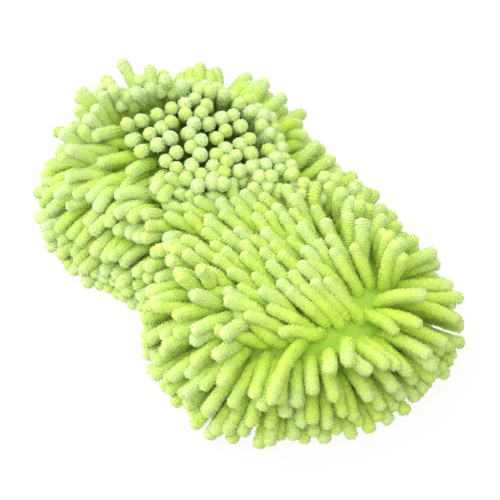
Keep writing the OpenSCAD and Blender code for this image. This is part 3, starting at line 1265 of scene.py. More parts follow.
@dataclass(frozen=True)
class BakeCell:
    """Places in the square cell of a UV map that one noodle takes."""

    skin_start: float = 0.03
    skin_width: float = 0.86
    strip_start: float = 0.92
    strip_width: float = 0.05
    low: float = 0.04
    height: float = 0.92
    tuft_skew: float = 0.01

    def lay(self, mesh: bpy.types.Mesh, count: int) -> None:
        """Lays each noodle's skin in its own cell, and its tufts in a strip beside the skin.

        Args:
            mesh: a row of noodles, with its along, around and cell attributes.
            count: number of noodles in the row.
        """
        across = math.ceil(math.sqrt(count))
        corner = np.empty(len(mesh.loops), np.int32)
        mesh.loops.foreach_get("vertex_index", corner)
        first, sizes = np.empty((2, len(mesh.polygons)), np.int32)
        mesh.polygons.foreach_get("loop_start", first)
        mesh.polygons.foreach_get("loop_total", sizes)
        values = {}
        for label in ("along", "around", "cell", "pile", "skew"):
            held = np.empty(len(mesh.vertices), np.float32)
            mesh.attributes[label].data.foreach_get("value", held)
            values[label] = held[corner]
        around = values["around"]
        face = np.repeat(np.arange(len(first)), sizes)
        most = np.maximum.reduceat(around, first)[face]
        around = np.where((most - around > 0.5) & (sizes[face] == 4), around + 1.0, around)
        highest = np.maximum.reduceat(values["pile"], first)[face]
        skin = self.skin_start + self.skin_width * np.clip(around, 0.0, 1.0)
        strip = self.strip_start + self.strip_width * values["pile"]
        cell = np.round(values["cell"]).astype(int)
        upward = np.clip(values["along"] + self.tuft_skew * values["skew"], 0.0, 1.0)
        u = (cell % across + np.where(highest > 0, strip, skin)) / across
        v = (cell // across + self.low + self.height * upward) / across
        layer = mesh.uv_layers.new(name=BAKE_MAP)
        layer.data.foreach_set("uv", np.stack([u, v], 1).astype(np.float32).ravel())


@dataclass
class NoodlePile:
    """The chenille noodles: rows round the sides and rows across the top, combed and settled on the pad.

    Tier 0 is the rows across the top, and tiers 1 to 4 are the rows round the sides from the lowest up.
    """

    pad: PadForm
    noodle: Noodle = field(default_factory=Noodle)
    crown: Crown = field(default_factory=Crown)
    top_comb: TopComb = field(default_factory=TopComb)
    side_comb: SideComb = field(default_factory=SideComb)
    length: float = 29 * MM
    length_range: tuple[float, float] = (0.9, 1.08)
    joints: int = 10
    seed: int = 11
    view_side: tuple[float, float] = (0.835, -0.55)
    hidden_side: float = -0.35
    side_rows: int = 4
    side_lane_pitch: float = 8.7 * MM
    side_lane_gap: float = 4.4 * MM
    low_row_density: float = 1.3
    far_density: float = 0.35
    far_density_run: float = 40 * MM
    place_shift: float = 0.12
    arc_shift_mm: float = 0.8
    lane_pinch: float = 0.55
    pinch_angle: float = 60
    pinch_run: float = 20
    bow_shares: tuple[float, ...] = (0.0, 0.0, 0.3, 1.0, 0.0)
    bow_rise: float = 4.5
    bow_middle: float = -7
    bow_width: float = 15
    bow_dip: float = 4
    dip_start: float = 8
    dip_start_run: float = 18
    dip_end: float = 46
    dip_end_run: float = 16
    parting_line: float = 93.2 * MM
    parting_turn: float = 0.17
    parting_shift_mm: float = 0.6
    top_rows: int = 17
    top_share: float = 0.72
    row_pitch: float = 10 * MM
    root_pitch: float = 8.4 * MM
    least_half: float = 6 * MM
    least_roots: int = 3
    stagger: float = 0.25
    width_steps: int = 400
    near_x: float = -15 * MM
    near_pitch: float = 0.88
    far_pitch: float = 0.93
    near_zigzag: float = 1.5 * MM
    far_zigzag: float = 2.0 * MM
    root_shift_mm: float = 0.9
    root_depth: float = 0.8 * MM
    grip: float = 0.6
    grip_fade: float = 3.2
    turned_from: tuple[float, float] = (-70, 30)
    turned_from_range: tuple[float, float] = (0.3, 0.7)
    turned_to: tuple[float, float] = (34, 28)
    turned_to_range: tuple[float, float] = (0.2, 0.8)
    looseness: tuple[float, ...] = (1.0, 0.6, 0.6, 1.0, 1.0)
    crown_hold: float = 0.6
    stray_lean: float = 0.07
    tip_stray_lean: float = 0.12
    low_reach: tuple[float, float] = (0.04, 0.14)
    low_reach_middle: float = -30
    low_reach_width: float = 24
    near_start: float = 20
    near_run: float = 40
    near_top_x: float = -10
    far_x: float = -20
    trims: tuple[Trim, ...] = (
        Trim(0.14, SIDES, Measure.NEAR_TURN, 42, 20),
        Trim(-0.34, HIGH_SIDES, Measure.NEAR_TURN, 88, 28),
        Trim(-0.2, SIDES, Measure.WAIST, 0, 26),
        Trim(-0.1, TOP, Measure.NEAR_TOP),
        Trim(-0.12, LOW_SIDES, Measure.NEAR_TURN, 8, 20),
        Trim(0.15, SIDES, Measure.NEAR_TURN, -60, 15),
        Trim(0.05, HIGH_SIDES, Measure.FAR_TURN, 138, 24),
        Trim(0.14, SIDES, Measure.FAR_END, 180, 18),
        Trim(-0.1, LOW_SIDES, Measure.NEAR_TURN, 28, 12),
        Trim(-0.28, TOP, Measure.CROWN_EDGE, 9, 9),
    )
    strays: tuple[Stray, ...] = (
        Stray(3, -19, (0.62, -0.44, 0.6), (0.76, -0.5, 0.24), 0.95),
        Stray(3, -6, (0.64, -0.4, 0.62), (0.76, -0.48, 0.26), 0.95),
        Stray(4, -20, (-0.5, -0.82, 0.35), (-0.5, -0.85, -0.1), 0.95),
        Stray(4, -33, (0.3, -0.85, 0.45), (0.6, -0.66, -0.55), 1.6),
        Stray(4, 18, (0.5, 0.75, 0.5), (0.8, 0.25, -0.6), 0.8),
        Stray(4, 39, (0.45, 0.75, 0.5), (0.5, 0.85, 0.05), 0.75),
    )
    roots: Array = field(init=False)
    normals: Array = field(init=False)
    tiers: Array = field(init=False)
    rows: list[str] = field(init=False)
    near_angle: Array = field(init=False)

    def side_pitch(self) -> float:
        """Gives the distance between side rows along the section."""
        pad = self.pad
        return (pad.wall_h + pad.shoulder_r * math.pi / 2 * self.top_share) / self.side_rows

    def near_turn(self, plan: Array) -> Array:
        """Gives the angle of places round the near lobe's centre in degrees, or 180 on the far half."""
        turn = np.degrees(np.arctan2(plan[:, 1], plan[:, 0] - self.pad.lobe_offset))
        return np.where(plan[:, 0] > 0, turn, 180.0)

    def plant(self, draw: np.random.Generator) -> None:
        """Sets the roots of all noodles, with their normals, tiers and rows.

        Args:
            draw: source of the small shifts that a knitted row has.
        """
        roots, normals, tiers, rows = [], [], [], []
        for row in range(1, self.side_rows + 1):
            points, away = self.side_row(row, draw)
            roots.append(points)
            normals.append(away)
            tiers.append(np.full(len(points), row))
            rows += [f"side_noodles_{row}"] * len(points)
        for row in range(1, self.top_rows + 1):
            points = self.top_row(row, draw)
            roots.append(points)
            normals.append(np.tile([0.0, 0.0, 1.0], (len(points), 1)))
            tiers.append(np.zeros(len(points), int))
            rows += [f"top_noodles_{row}"] * len(points)
        self.roots = np.concatenate(roots)
        self.normals = np.concatenate(normals)
        self.tiers = np.concatenate(tiers)
        self.rows = rows
        self.near_angle = self.near_turn(self.roots)

    def side_row(self, row: int, draw: np.random.Generator) -> tuple[Array, Array]:
        """Gives the roots and normals of a row round the sides, which has two lanes.

        Args:
            row: number of the row, from 1 at the bottom.
            draw: source of small shifts.

        Returns:
            The roots and normals.
        """
        points, normals = [], []
        density = self.low_row_density if row == 1 else 1.0
        for lane in (-0.5, 0.5):
            arc = self.side_pitch() * (row - 0.5) + lane * self.side_lane_gap
            inset = float(self.pad.section(np.array(arc))[0])
            count = round(self.pad.length(inset) / self.side_lane_pitch * density)
            places = (np.arange(count) + 0.5 * lane + 0.25 * (row % 2)) / count
            places = self.crowd(places + draw.uniform(-self.place_shift, self.place_shift, count) / count)
            turn = self.near_turn(self.pad.ring(inset, places)[0])
            shift = draw.uniform(-self.arc_shift_mm, self.arc_shift_mm, count) * MM
            arcs = arc + shift + self.arc_move(turn, row, lane)
            insets, heights, slopes = self.pad.section(arcs)
            pairs = zip(insets, places, strict=True)
            rings = [self.pad.ring(float(inset), place[None]) for inset, place in pairs]
            plan = np.concatenate([ring[0] for ring in rings])
            out = np.concatenate([ring[1] for ring in rings])
            if row == self.side_rows:
                limit = self.parting_line - 0.5 * (lane + 0.5) * self.side_lane_gap
                limit = limit + self.parting_turn * plan[:, 1]
                shift = draw.uniform(-self.parting_shift_mm, self.parting_shift_mm, count) * MM
                plan[:, 0] = np.minimum(plan[:, 0], limit + shift)
                heights = self.height_at(plan)
            hidden = out @ np.array(self.view_side) < self.hidden_side
            kept = (plan[:, 0] > 0) | (lane < 0) | (row in (1, self.side_rows)) | hidden
            points.append(np.concatenate([plan, heights[:, None]], 1)[kept])
            normals.append(rise(out, slopes)[kept])
        return np.concatenate(points), np.concatenate(normals)

    def arc_move(self, turn: Array, row: int, lane: float) -> Array:
        """Gives how far roots of a row lie off its line, up the section.

        Args:
            turn: their angles round the near lobe.
            row: number of the row.
            lane: side of the row that they are on, -0.5 or 0.5.

        Returns:
            The moves.
        """
        close = ease(-np.abs(turn), -self.pinch_angle, self.pinch_run) * (row > 2)
        dip = self.bow_dip * ease(turn, self.dip_start, self.dip_start_run)
        bow = self.bow_rise * bell(turn, self.bow_middle, self.bow_width)
        bow = bow - dip * ease(-turn, -self.dip_end, self.dip_end_run)
        return bow * self.bow_shares[row] * MM - self.lane_pinch * lane * close * self.side_lane_gap

    def crowd(self, places: Array) -> Array:
        """Moves even places round the pad so that they lie closer together on the far lobe.

        Args:
            places: shares of the way round.

        Returns:
            The moved places.
        """
        weight = 1.0 + self.far_density * ease(-self.pad.outline[:, 0], 0.0, self.far_density_run)
        reached = np.concatenate([[0.0], np.cumsum(weight)]) / weight.sum()
        return np.interp(places % 1.0, reached, np.linspace(0.0, 1.0, len(reached)))

    def height_at(self, plan: Array) -> Array:
        """Gives the height of the cover's outside above points of the shoulder or the top.

        Args:
            plan: points in plan.

        Returns:
            The heights.
        """
        inset = self.pad.inset_of(plan)[0]
        slope = np.arccos(np.clip(1 - inset / self.pad.shoulder_r, 0.0, 1.0))
        return self.pad.pad_top - self.pad.shoulder_r * (1 - np.sin(slope)) + self.pad.crown_at(inset)

    def top_row(self, row: int, draw: np.random.Generator) -> Array:
        """Gives the roots of a straight row across the top.

        Args:
            row: number of the row, from 1 at the far end.
            draw: source of small shifts.

        Returns:
            The roots.
        """
        x = (row - (self.top_rows + 1) / 2) * self.row_pitch
        wide = np.linspace(-self.pad.lobe_r, self.pad.lobe_r, self.width_steps)
        inset = self.pad.inset_of(np.stack([np.full_like(wide, x), wide], 1))[0]
        half = float(wide[inset > self.pad.shoulder_r * self.top_share].max(initial=self.least_half))
        pitch = self.root_pitch * (self.near_pitch if x > self.near_x else self.far_pitch)
        count = max(self.least_roots, round(2 * half / pitch) + 1)
        stagger = self.stagger if row % 2 else -self.stagger
        y = (np.arange(count) - 0.5 * (count - 1) + stagger) * 2 * half / (count - 0.5)
        zigzag = self.far_zigzag if x < self.near_x else self.near_zigzag
        plan = np.stack([x + (np.arange(count) % 2 - 0.5) * zigzag, y], 1)
        plan = plan + draw.uniform(-self.root_shift_mm, self.root_shift_mm, (count, 2)) * MM
        return np.concatenate([plan, self.height_at(plan)[:, None]], 1)

    def comb(self, draw: np.random.Generator) -> tuple[Array, Array]:
        """Gives the direction of each noodle's root end and tip end.

        Args:
            draw: source of each noodle's own stray lean.

        Returns:
            The root directions and the tip directions.
        """
        x, y = self.roots[:, 0] / MM, self.roots[:, 1] / MM
        heading, lift = self.top_comb.angles(x, y)
        level = np.stack([np.cos(heading), np.sin(heading)], 1)
        plan = (self.roots[:, :2] - np.array(self.crown.centre)) / self.pad.lobe_r
        crown = self.crown.ways(plan, self.view_side)
        out = self.pad.inset_of(self.roots[:, :2])[1]
        away = -out @ np.array(self.view_side)
        slope = np.degrees(np.arcsin(np.clip(self.normals[:, 2], -1, 1)))
        lean, droop, behind = self.side_comb.angles(self.tiers, x, slope, away, draw)
        far = self.crown.far(x, y)
        crowned = far * self.crown.shares(self.tiers, y, away, draw)
        combed = np.where(self.tiers == 0, 1.0 - far, self.turned(draw))
        sided = np.clip(1.0 - crowned - combed, 0.0, 1.0)
        shares = np.stack([crowned, combed, sided], 1)[:, :, None]
        tip_lift = self.top_comb.tip_lift * lift
        at_root = np.stack([crown, rise(level, lift), rise(out, np.radians(lean))], 1)
        at_tip = np.stack([crown, rise(level, tip_lift), rise(out, np.radians(lean - droop))], 1)
        root = unit((at_root * shares).sum(1))
        tip = unit((at_tip * shares).sum(1))
        for stray in self.strays:
            picked = stray.pick(self.tiers, self.near_angle)
            root[picked] = unit(np.array(stray.root))
            tip[picked] = unit(np.array(stray.tip))
        loose = np.array(self.looseness)[self.tiers] * (1.0 - self.crown_hold * crowned)
        loose = (loose + behind * (self.tiers == 3) * (x < self.side_comb.far_x))[:, None]
        sway = draw.normal(0.0, self.stray_lean, root.shape) * loose
        tip_sway = draw.normal(0.0, self.tip_stray_lean, tip.shape) * loose
        return unit(root + sway), unit(tip + sway + tip_sway)

    def turned(self, draw: np.random.Generator) -> Array:
        """Gives 1 for noodles of the highest side row that are combed back over the near top.

        Args:
            draw: source of where the combing starts and stops.

        Returns:
            1 or 0 for each noodle.
        """
        angle, count = self.near_angle, len(self.tiers)
        after = ease(angle, *self.turned_from) > draw.uniform(*self.turned_from_range, count)
        stop, run = self.turned_to
        before = ease(-angle, -stop, run) > draw.uniform(*self.turned_to_range, count)
        return (self.tiers == self.side_rows) * after * before

    def reach(self) -> Array:
        """Gives each noodle's share of the usual length.

        Returns:
            The shares.
        """
        x, y = self.roots[:, 0] / MM, self.roots[:, 1] / MM
        near = ease(x, self.near_start, self.near_run)
        far_turn = np.degrees(np.arctan2(y, x + self.pad.lobe_offset / MM))
        measures = {
            Measure.NEAR_TURN: (self.near_angle, near),
            Measure.FAR_TURN: (far_turn, x < self.far_x),
            Measure.FAR_END: (np.abs(far_turn), x < self.far_x),
            Measure.WAIST: (x, y < 0),
            Measure.CROWN_EDGE: (self.crown.past_edge(x, y), np.ones_like(x)),
            Measure.NEAR_TOP: (np.zeros_like(x), x > self.near_top_x),
        }
        dip = self.low_reach[1] * bell(self.near_angle, self.low_reach_middle, self.low_reach_width)
        share = 1.0 + near * np.isin(self.tiers, LOW_SIDES) * (self.low_reach[0] - dip)
        for trim in self.trims:
            value, where = measures[trim.measure]
            picked = np.isin(self.tiers, trim.tiers)
            share += trim.change * where * picked * bell(value, trim.middle, trim.width)
        for stray in self.strays:
            share[stray.pick(self.tiers, self.near_angle)] = stray.share
        return share

    def lay(self, lengths: Array, draw: np.random.Generator) -> Array:
        """Draws each noodle's centreline before it touches the others.

        Args:
            lengths: length of each noodle.
            draw: source of stray leans.

        Returns:
            The centrelines, as noodle by joint by axis.
        """
        root, tip = self.comb(draw)
        share = np.linspace(0.0, 1.0, self.joints - 1)[None, :, None]
        way = unit(root[:, None] * (1 - share) + tip[:, None] * share)
        grip = np.clip(1 - self.grip_fade * share, 0.0, 1.0) * self.grip
        way = unit(way * (1 - grip) + self.normals[:, None] * grip)
        step = (lengths / (self.joints - 1))[:, None, None]
        line = np.cumsum(way * step, axis=1)
        start = (self.roots - self.root_depth * self.normals)[:, None]
        return np.concatenate([start, start + line], 1)

    def build(self) -> list[bpy.types.Object]:
        """Makes one piece for each top row and two for each side row, in place of the row's solid.

        Returns:
            The pieces.
        """
        draw = np.random.default_rng(self.seed)
        self.plant(draw)
        lengths = self.length * self.reach() * draw.uniform(*self.length_range, len(self.roots))
        tones = draw.uniform(0.0, 1.0, len(self.roots))
        settling = Settling(self.pad, self.noodle.thickness, self.joints)
        lines = settling.settle(self.lay(lengths, draw), lengths)
        tree = self.noodle.tree()
        values = self.noodle.values()
        keys = []
        for row, near in zip(self.rows, self.roots[:, 0] > 0, strict=True):
            half = ".near" if near else ".far"
            keys.append(row + half if row.startswith("side") else row)
        made = []
        for place, key in enumerate(dict.fromkeys(keys)):
            picked = [k for k, name in enumerate(keys) if name == key]
            shades = [float(tones[k]) for k in picked]
            held = {"tone": shades, "cell": [float(k) for k in range(len(picked))]}
            guide = line_mesh(key, [lines[k] for k in picked], held)
            piece = tree.run(guide, f"pile_{key}", values | {"Seed": self.seed + place})
            BakeCell().lay(piece.data, len(picked))
            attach(piece, Body.PAD.value)
            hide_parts(self.rows[picked[0]])
            made.append(piece)
        return made


@dataclass
class PadShell:
    """Rings round the pad that its cloth and foam are lofted from."""

    pad: PadForm
    round_steps: int = 192
    hem_steps: int = 4

    def loft(self, section: Section, cap_first: bool, cap_last: bool) -> tuple[Array, list]:
        """Lofts rings from a section that runs from the top to the underside.

        Args:
            section: places on the section, as inset and height.
            cap_first: whether the first ring is closed, facing up.
            cap_last: whether the last ring is closed, facing down.

        Returns:
            The points and the faces, which face outward.
        """
        n = self.round_steps
        places = np.arange(n) / n
        points = []
        for inset, height in section:
            plan = self.pad.ring(inset, places)[0]
            points.append(np.concatenate([plan, np.full((n, 1), height)], 1))
        faces = []
        for r in range(len(section) - 1):
            a, b = r * n, (r + 1) * n
            faces += [(b + k, b + (k + 1) % n, a + (k + 1) % n, a + k) for k in range(n)]
        if cap_first:
            faces += self.cap(0, True)
        if cap_last:
            faces += self.cap((len(section) - 1) * n, False)
        return np.concatenate(points), faces

    def cap(self, start: int, up: bool) -> list[tuple[int, ...]]:
        """Closes a ring with strips between its two mirrored sides.

        Args:
            start: number of the ring's first point.
            up: whether the cap faces up.

        Returns:
            The cap's faces.
        """
        n = self.round_steps
        faces = []
        for k in range(n // 2):
            ring = [k, k + 1, n - k - 1, (n - k) % n]
            loop = list(dict.fromkeys(start + p for p in ring))
            if len(loop) > 2:
                faces.append(tuple(loop if up else loop[::-1]))
        return faces

    def top_section(self, inset: float, steps: int, top_rings: tuple[float, ...]) -> Section:
        """Gives the crowned top and the shoulder, drawn in by an inset.

        Args:
            inset: distance inside the cover's outside.
            steps: steps round the shoulder.
            top_rings: insets of rings on the top, from the middle outward.

        Returns:
            Places on the section, as inset and height.
        """
        pad = self.pad
        upper = pad.shoulder_r - inset
        places = [(t, pad.pad_top - inset + float(pad.crown_at(np.array(t)))) for t in top_rings]
        for k in range(steps + 1):
            angle = math.pi / 2 * (1 - k / steps)
            at = pad.shoulder_r - upper * math.cos(angle)
            lift = float(pad.crown_at(np.array(at))) * math.sin(angle)
            places.append((at, pad.pad_top - pad.shoulder_r + upper * math.sin(angle) + lift))
        return places

    def hem_section(self, inset: float, radius: float) -> Section:
        """Gives the round under the wall's foot.

        Args:
            inset: distance of the wall inside the cover's outside.
            radius: radius of the round.

        Returns:
            Places on the section, as inset and height.
        """
        angles = [math.pi / 2 * k / self.hem_steps for k in range(1, self.hem_steps + 1)]
        foot = self.pad.wall_foot
        return [(inset + radius * (1 - math.cos(a)), foot - radius * math.sin(a)) for a in angles]

    @staticmethod
    def hollow_section(edge: float, run: float, low: float, depth: float, places: int) -> Section:
        """Gives the slope of the hollow that the strap pulls into the underside.

        Args:
            edge: inset of its lower edge.
            run: width of the slope.
            low: height of its lower edge.
            depth: rise of the slope.
            places: number of places on it.

        Returns:
            Places on the section, as inset and height.
        """
        shares = np.linspace(0.0, 1.0, places)
        return [(edge + run * share, low + depth * float(smooth(np.array(share)))) for share in shares]


@dataclass
class SpongeCore:
    """The foam that fills the cover, with the hollow in its underside."""

    shell: PadShell
    inset: float = 1.35 * MM
    bottom: float = 5.55 * MM
    top_rings: tuple[float, ...] = (40 * MM, 36 * MM, 31 * MM)
    shoulder_steps: int = 8
    hollow_edge: float = 13.4 * MM
    hollow_run: float = 17 * MM
    hollow_top: float = 18.6 * MM
    hollow_places: int = 8
    hollow_middle: float = 38 * MM
    fill: float = 0.9

    def build(self) -> bpy.types.Object:
        """Makes the foam in place of its solid.

        Returns:
            The piece.
        """
        shell = self.shell
        depth = self.hollow_top - self.bottom
        section = shell.top_section(self.inset, self.shoulder_steps, self.top_rings)
        section += shell.hem_section(self.inset, shell.pad.wall_foot - self.bottom)
        edge, run = self.hollow_edge, self.hollow_run
        section += shell.hollow_section(edge, run, self.bottom, depth, self.hollow_places)
        section.append((self.hollow_middle, self.hollow_top))
        points, faces = shell.loft(section, True, True)
        made = soft_object("sponge_core", points, faces, SPONGE.material())
        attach(made, Body.PAD.value)
        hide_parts("foam_core")
        return made


@dataclass
class CoverCloth:
    """The knitted cloth that carries the noodles, drawn over the foam and down into the binding."""

    shell: PadShell
    thickness: float = 1.1 * MM
    top_rings: tuple[float, ...] = (41 * MM, 38 * MM, 34 * MM, 30 * MM)
    shoulder_steps: int = 12
    hem_inset: float = 5.3 * MM
    hem_drop: float = 0.4 * MM
    hem_z: float = 1.15 * MM
    flat: tuple[float, float] = (0.30, 0.19)
    flat_area: float = 0.0357

    def build(self) -> bpy.types.Object:
        """Makes the cloth in place of its solid.

        Returns:
            The piece.
        """
        pad = self.shell.pad
        section = self.shell.top_section(0.0, self.shoulder_steps, self.top_rings)
        section += self.shell.hem_section(0.0, pad.hem_r)
        section.append((self.hem_inset, pad.pad_bottom - self.hem_drop))
        section.append((self.hem_inset, self.hem_z))
        points, faces = self.shell.loft(section, True, False)
        made = soft_object("cover_knit", points, faces, COVER_KNIT.material())
        thicken(made, self.thickness)
        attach(made, Body.PAD.value)
        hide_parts("cover_cloth")
        return made


@dataclass
class BackPanel:
    """The plain knit that closes the underside and follows the hollow."""

    shell: PadShell
    thickness: float = 1.1 * MM
    hem_inset: float = 7.85 * MM
    hem_z: float = 1.15 * MM
    hem_drop: float = 0.7 * MM
    hem_turn: float = 0.5 * MM
    hem_flat: float = 2.6 * MM
    hollow_edge: float = 13 * MM
    hollow_run: float = 18 * MM
    hollow_depth: float = 13 * MM
    hollow_places: int = 12
    top_rings: tuple[float, ...] = (34 * MM, 38 * MM, 41 * MM)
    fold_depth: float = 0.55 * MM
    wide_folds: int = 17
    narrow_folds: int = 29
    fold_stretch: float = 0.55
    flat: tuple[float, float] = (0.212, 0.105)
    flat_area: float = 0.0187

    def build(self) -> bpy.types.Object:
        """Makes the panel in place of its solid.

        Returns:
            The piece.
        """
        low = self.shell.pad.pad_bottom
        depth = self.hollow_depth
        section = [(self.hem_inset, self.hem_z), (self.hem_inset, low - self.hem_drop)]
        section += [(self.hem_inset + self.hem_turn, low), (self.hem_inset + self.hem_flat, low)]
        edge, run = self.hollow_edge, self.hollow_run
        section += self.shell.hollow_section(edge, run, low, depth, self.hollow_places)
        section += [(ring, low + depth) for ring in self.top_rings]
        points, faces = self.shell.loft(section, False, True)
        made = soft_object("back_knit", self.pucker(points), faces, BACK_KNIT.material())
        thicken(made, self.thickness)
        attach(made, Body.PAD.value)
        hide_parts("back_panel")
        return made

    def pucker(self, points: Array) -> Array:
        """Draws shallow folds into the hollow, most on its slope.

        Args:
            points: points of the smooth panel.

        Returns:
            The folded points.
        """
        inset = self.shell.pad.inset_of(points[:, :2])[0]
        slope = ease(inset, self.hollow_edge, 0.5 * self.hollow_run)
        slope = slope * smooth((self.hollow_edge + 1.35 * self.hollow_run - inset) / self.hollow_run)
        turn = np.arctan2(points[:, 1], points[:, 0] * self.fold_stretch)
        fold = np.sin(self.wide_folds * turn + 2.0 * np.sin(3 * turn)) * 0.5
        fold = fold + np.sin(self.narrow_folds * turn + 1.0) * 0.3
        folded = points.copy()
        folded[:, 2] -= self.fold_depth * slope * (fold + 0.8)
        return folded


@dataclass
class EdgeBinding:
    """The folded tape that holds the hems of cover and back panel."""

    shell: PadShell
    out: float = 4.15 * MM
    inner: float = 9.0 * MM
    top: float = 4.05 * MM
    tape: float = 1.0 * MM
    bulge: float = 0.15 * MM
    seam: float = 6.6 * MM
    seam_half: float = 0.7 * MM
    seam_depth: float = 0.45 * MM
    floor_gap: float = 0.05 * MM
    pucker: float = 0.22 * MM
    pucker_pitch: float = 7.5 * MM
    steps: int = 448

    def section(self) -> Section:
        """Gives the tape's closed section, as inset and height, clockwise from its outer top.

        Returns:
            The section.
        """
        out, inner, top, tape = self.out, self.inner, self.top, self.tape
        inside = tape + 0.5 * tape
        floor = tape + self.floor_gap
        lip = top - 0.1 * tape
        outer_wall = [
            (out + 0.25 * tape, top), (out, top - 0.3 * tape), (out - self.bulge, 0.55 * top),
            (out, 1.1 * tape), (out + 0.3 * tape, 0.25 * tape), (out + tape, 0.0),
        ]
        seam = [
            (self.seam - self.seam_half, 0.0),
            (self.seam, self.seam_depth),
            (self.seam + self.seam_half, 0.0),
        ]
        inner_wall = [
            (inner - tape, 0.0), (inner - 0.3 * tape, 0.25 * tape), (inner, 1.1 * tape),
            (inner + self.bulge, 0.55 * top), (inner, top - 0.3 * tape), (inner - 0.25 * tape, top),
        ]
        fold = [
            (inner - tape, lip), (inner - tape, inside), (inner - 1.3 * tape, floor),
            (out + 1.3 * tape, floor), (out + tape, inside), (out + tape, lip),
        ]
        return outer_wall + seam + inner_wall + fold

    def build(self) -> bpy.types.Object:
        """Makes the tape in place of its solid.

        Returns:
            The piece.
        """
        shell = PadShell(self.shell.pad, self.steps)
        section = self.section()
        points, faces = shell.loft(section + section[:1], False, False)
        count = len(section) * self.steps
        faces = [tuple(p % count for p in face) for face in faces]
        points = self.gathered(points[:count], len(section))
        made = soft_object("binding_tape", points, faces, TAPE.material())
        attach(made, Body.PAD.value)
        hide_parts("edge_binding")
        return made

    def gathered(self, points: Array, places: int) -> Array:
        """Gathers the tape a little between stitches, off its seam and its ground face.

        Args:
            points: points of the smooth tape, ring after ring.
            places: number of places on the section.

        Returns:
            The gathered points.
        """
        inset, normal = self.shell.pad.inset_of(points[:, :2])
        turn = np.tile(np.arange(self.steps) / self.steps, places)
        waves = round(self.shell.pad.length(self.seam) / self.pucker_pitch)
        lift = np.clip(points[:, 2] / self.top, 0.0, 1.0)
        swell = np.sin(FULL_TURN * waves * turn) + 0.5 * np.sin(FULL_TURN * (waves // 3) * turn + 1.0)
        away = np.sign(self.seam - inset)
        moved = points.copy()
        moved[:, :2] += normal * (away * self.pucker * 0.5 * swell * lift)[:, None]
        return moved


@dataclass
class HandStrap:
    """The elastic strap across the waist: a middle that rides on the strap and two ends."""

    pad: PadForm
    width: float = 45 * MM
    top: float = 4.0 * MM
    thickness: float = 1.6 * MM
    end_y: float = 25 * MM
    wall_y: float = 34 * MM
    wall_gap: float = 0.1 * MM
    ribs: int = 30
    rib_depth: float = 0.18 * MM
    edge_width: float = 0.8 * MM
    edge_half: float = 0.3 * MM
    middle_steps: int = 20
    end_steps: int = 12

    @property
    def middle_z(self) -> float:
        """Height of the middle of the strap's thickness."""
        return self.top - 0.5 * self.thickness

    def section(self) -> Array:
        """Gives the strap's ribbed cross-section as X and Z, anticlockwise from its lower left.

        Returns:
            The section.
        """
        share = np.linspace(0.0, 1.0, 4 * self.ribs + 1)
        x = (share - 0.5) * (self.width - self.edge_width)
        ridge = self.rib_depth * (0.5 - 0.5 * np.cos(FULL_TURN * self.ribs * share))
        low = np.stack([x, self.top - self.thickness + self.rib_depth - ridge], 1)
        high = np.stack([x, self.top - self.rib_depth + ridge], 1)
        edge = np.array([[0.5 * self.width, self.middle_z + side * self.edge_half] for side in (-1, 1)])
        return np.concatenate([low, edge, high[::-1], edge[::-1] * [-1, 1]])

    def loft(self, name: str, rows: list[Array], finish: bpy.types.Material) -> bpy.types.Object:
        """Makes a closed strap piece from rows of section points along it.

        Args:
            name: name of the piece.
            rows: the points of each section, toward +Y.
            finish: its material.

        Returns:
            The object.
        """
        n = len(rows[0])
        faces = []
        for r in range(len(rows) - 1):
            a, b = r * n, (r + 1) * n
            faces += [(a + k, b + k, b + (k + 1) % n, a + (k + 1) % n) for k in range(n)]
        faces.append(tuple(range(n)))
        last = (len(rows) - 1) * n
        faces.append(tuple(range(last + n - 1, last - 1, -1)))
        return soft_object(name, np.concatenate(rows), faces, finish)

    def rows(self, start: float, stop: float, steps: int, wall: bool) -> list[Array]:
        """Gives section points along a stretch of the strap.

        Args:
            start: Y of the first row.
            stop: Y of the last row, on the strap's middle line.
            steps: number of steps between them.
            wall: whether the last row follows the inside of the binding.

        Returns:
            The rows of points.
        """
        section = self.section()
        reach = self.pad.neck_y - self.wall_y
        bulge = (self.pad.neck_y - np.sqrt(reach**2 - section[:, 0] ** 2)) - self.wall_y
        made = []
        for share in np.linspace(0.0, 1.0, steps + 1):
            y = start + (stop - start) * share + (bulge * share if wall else 0.0)
            made.append(np.stack([section[:, 0], np.broadcast_to(y, len(section)), section[:, 1]], 1))
        return made

    def build(self) -> list[bpy.types.Object]:
        """Makes the strap's middle and its two ends in place of their solids.

        Returns:
            The pieces.
        """
        finish = ELASTIC.material()
        rows = self.rows(-self.end_y, self.end_y, self.middle_steps, False)
        middle = self.loft("elastic_middle", rows, finish)
        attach(middle, Body.STRAP.value)
        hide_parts("hand_strap")
        made = [middle]
        for side in Side:
            rows = self.rows(self.end_y, self.wall_y - self.wall_gap, self.end_steps, True)
            if side is Side.RIGHT:
                rows = [row * [-1, -1, 1] for row in rows]
            node = f"strap_end_{side.name.lower()}"
            end = self.loft(f"elastic_end_{side.name.lower()}", rows, finish)
            self.hang(end, side)
            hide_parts(node)
            made.append(end)
        return made

    def hang(self, piece: bpy.types.Object, side: Side) -> None:
        """Fixes a piece at one end in place, with its transform baked into its mesh.

        Args:
            piece: the piece.
            side: its end; not used.
        """
        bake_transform(piece)


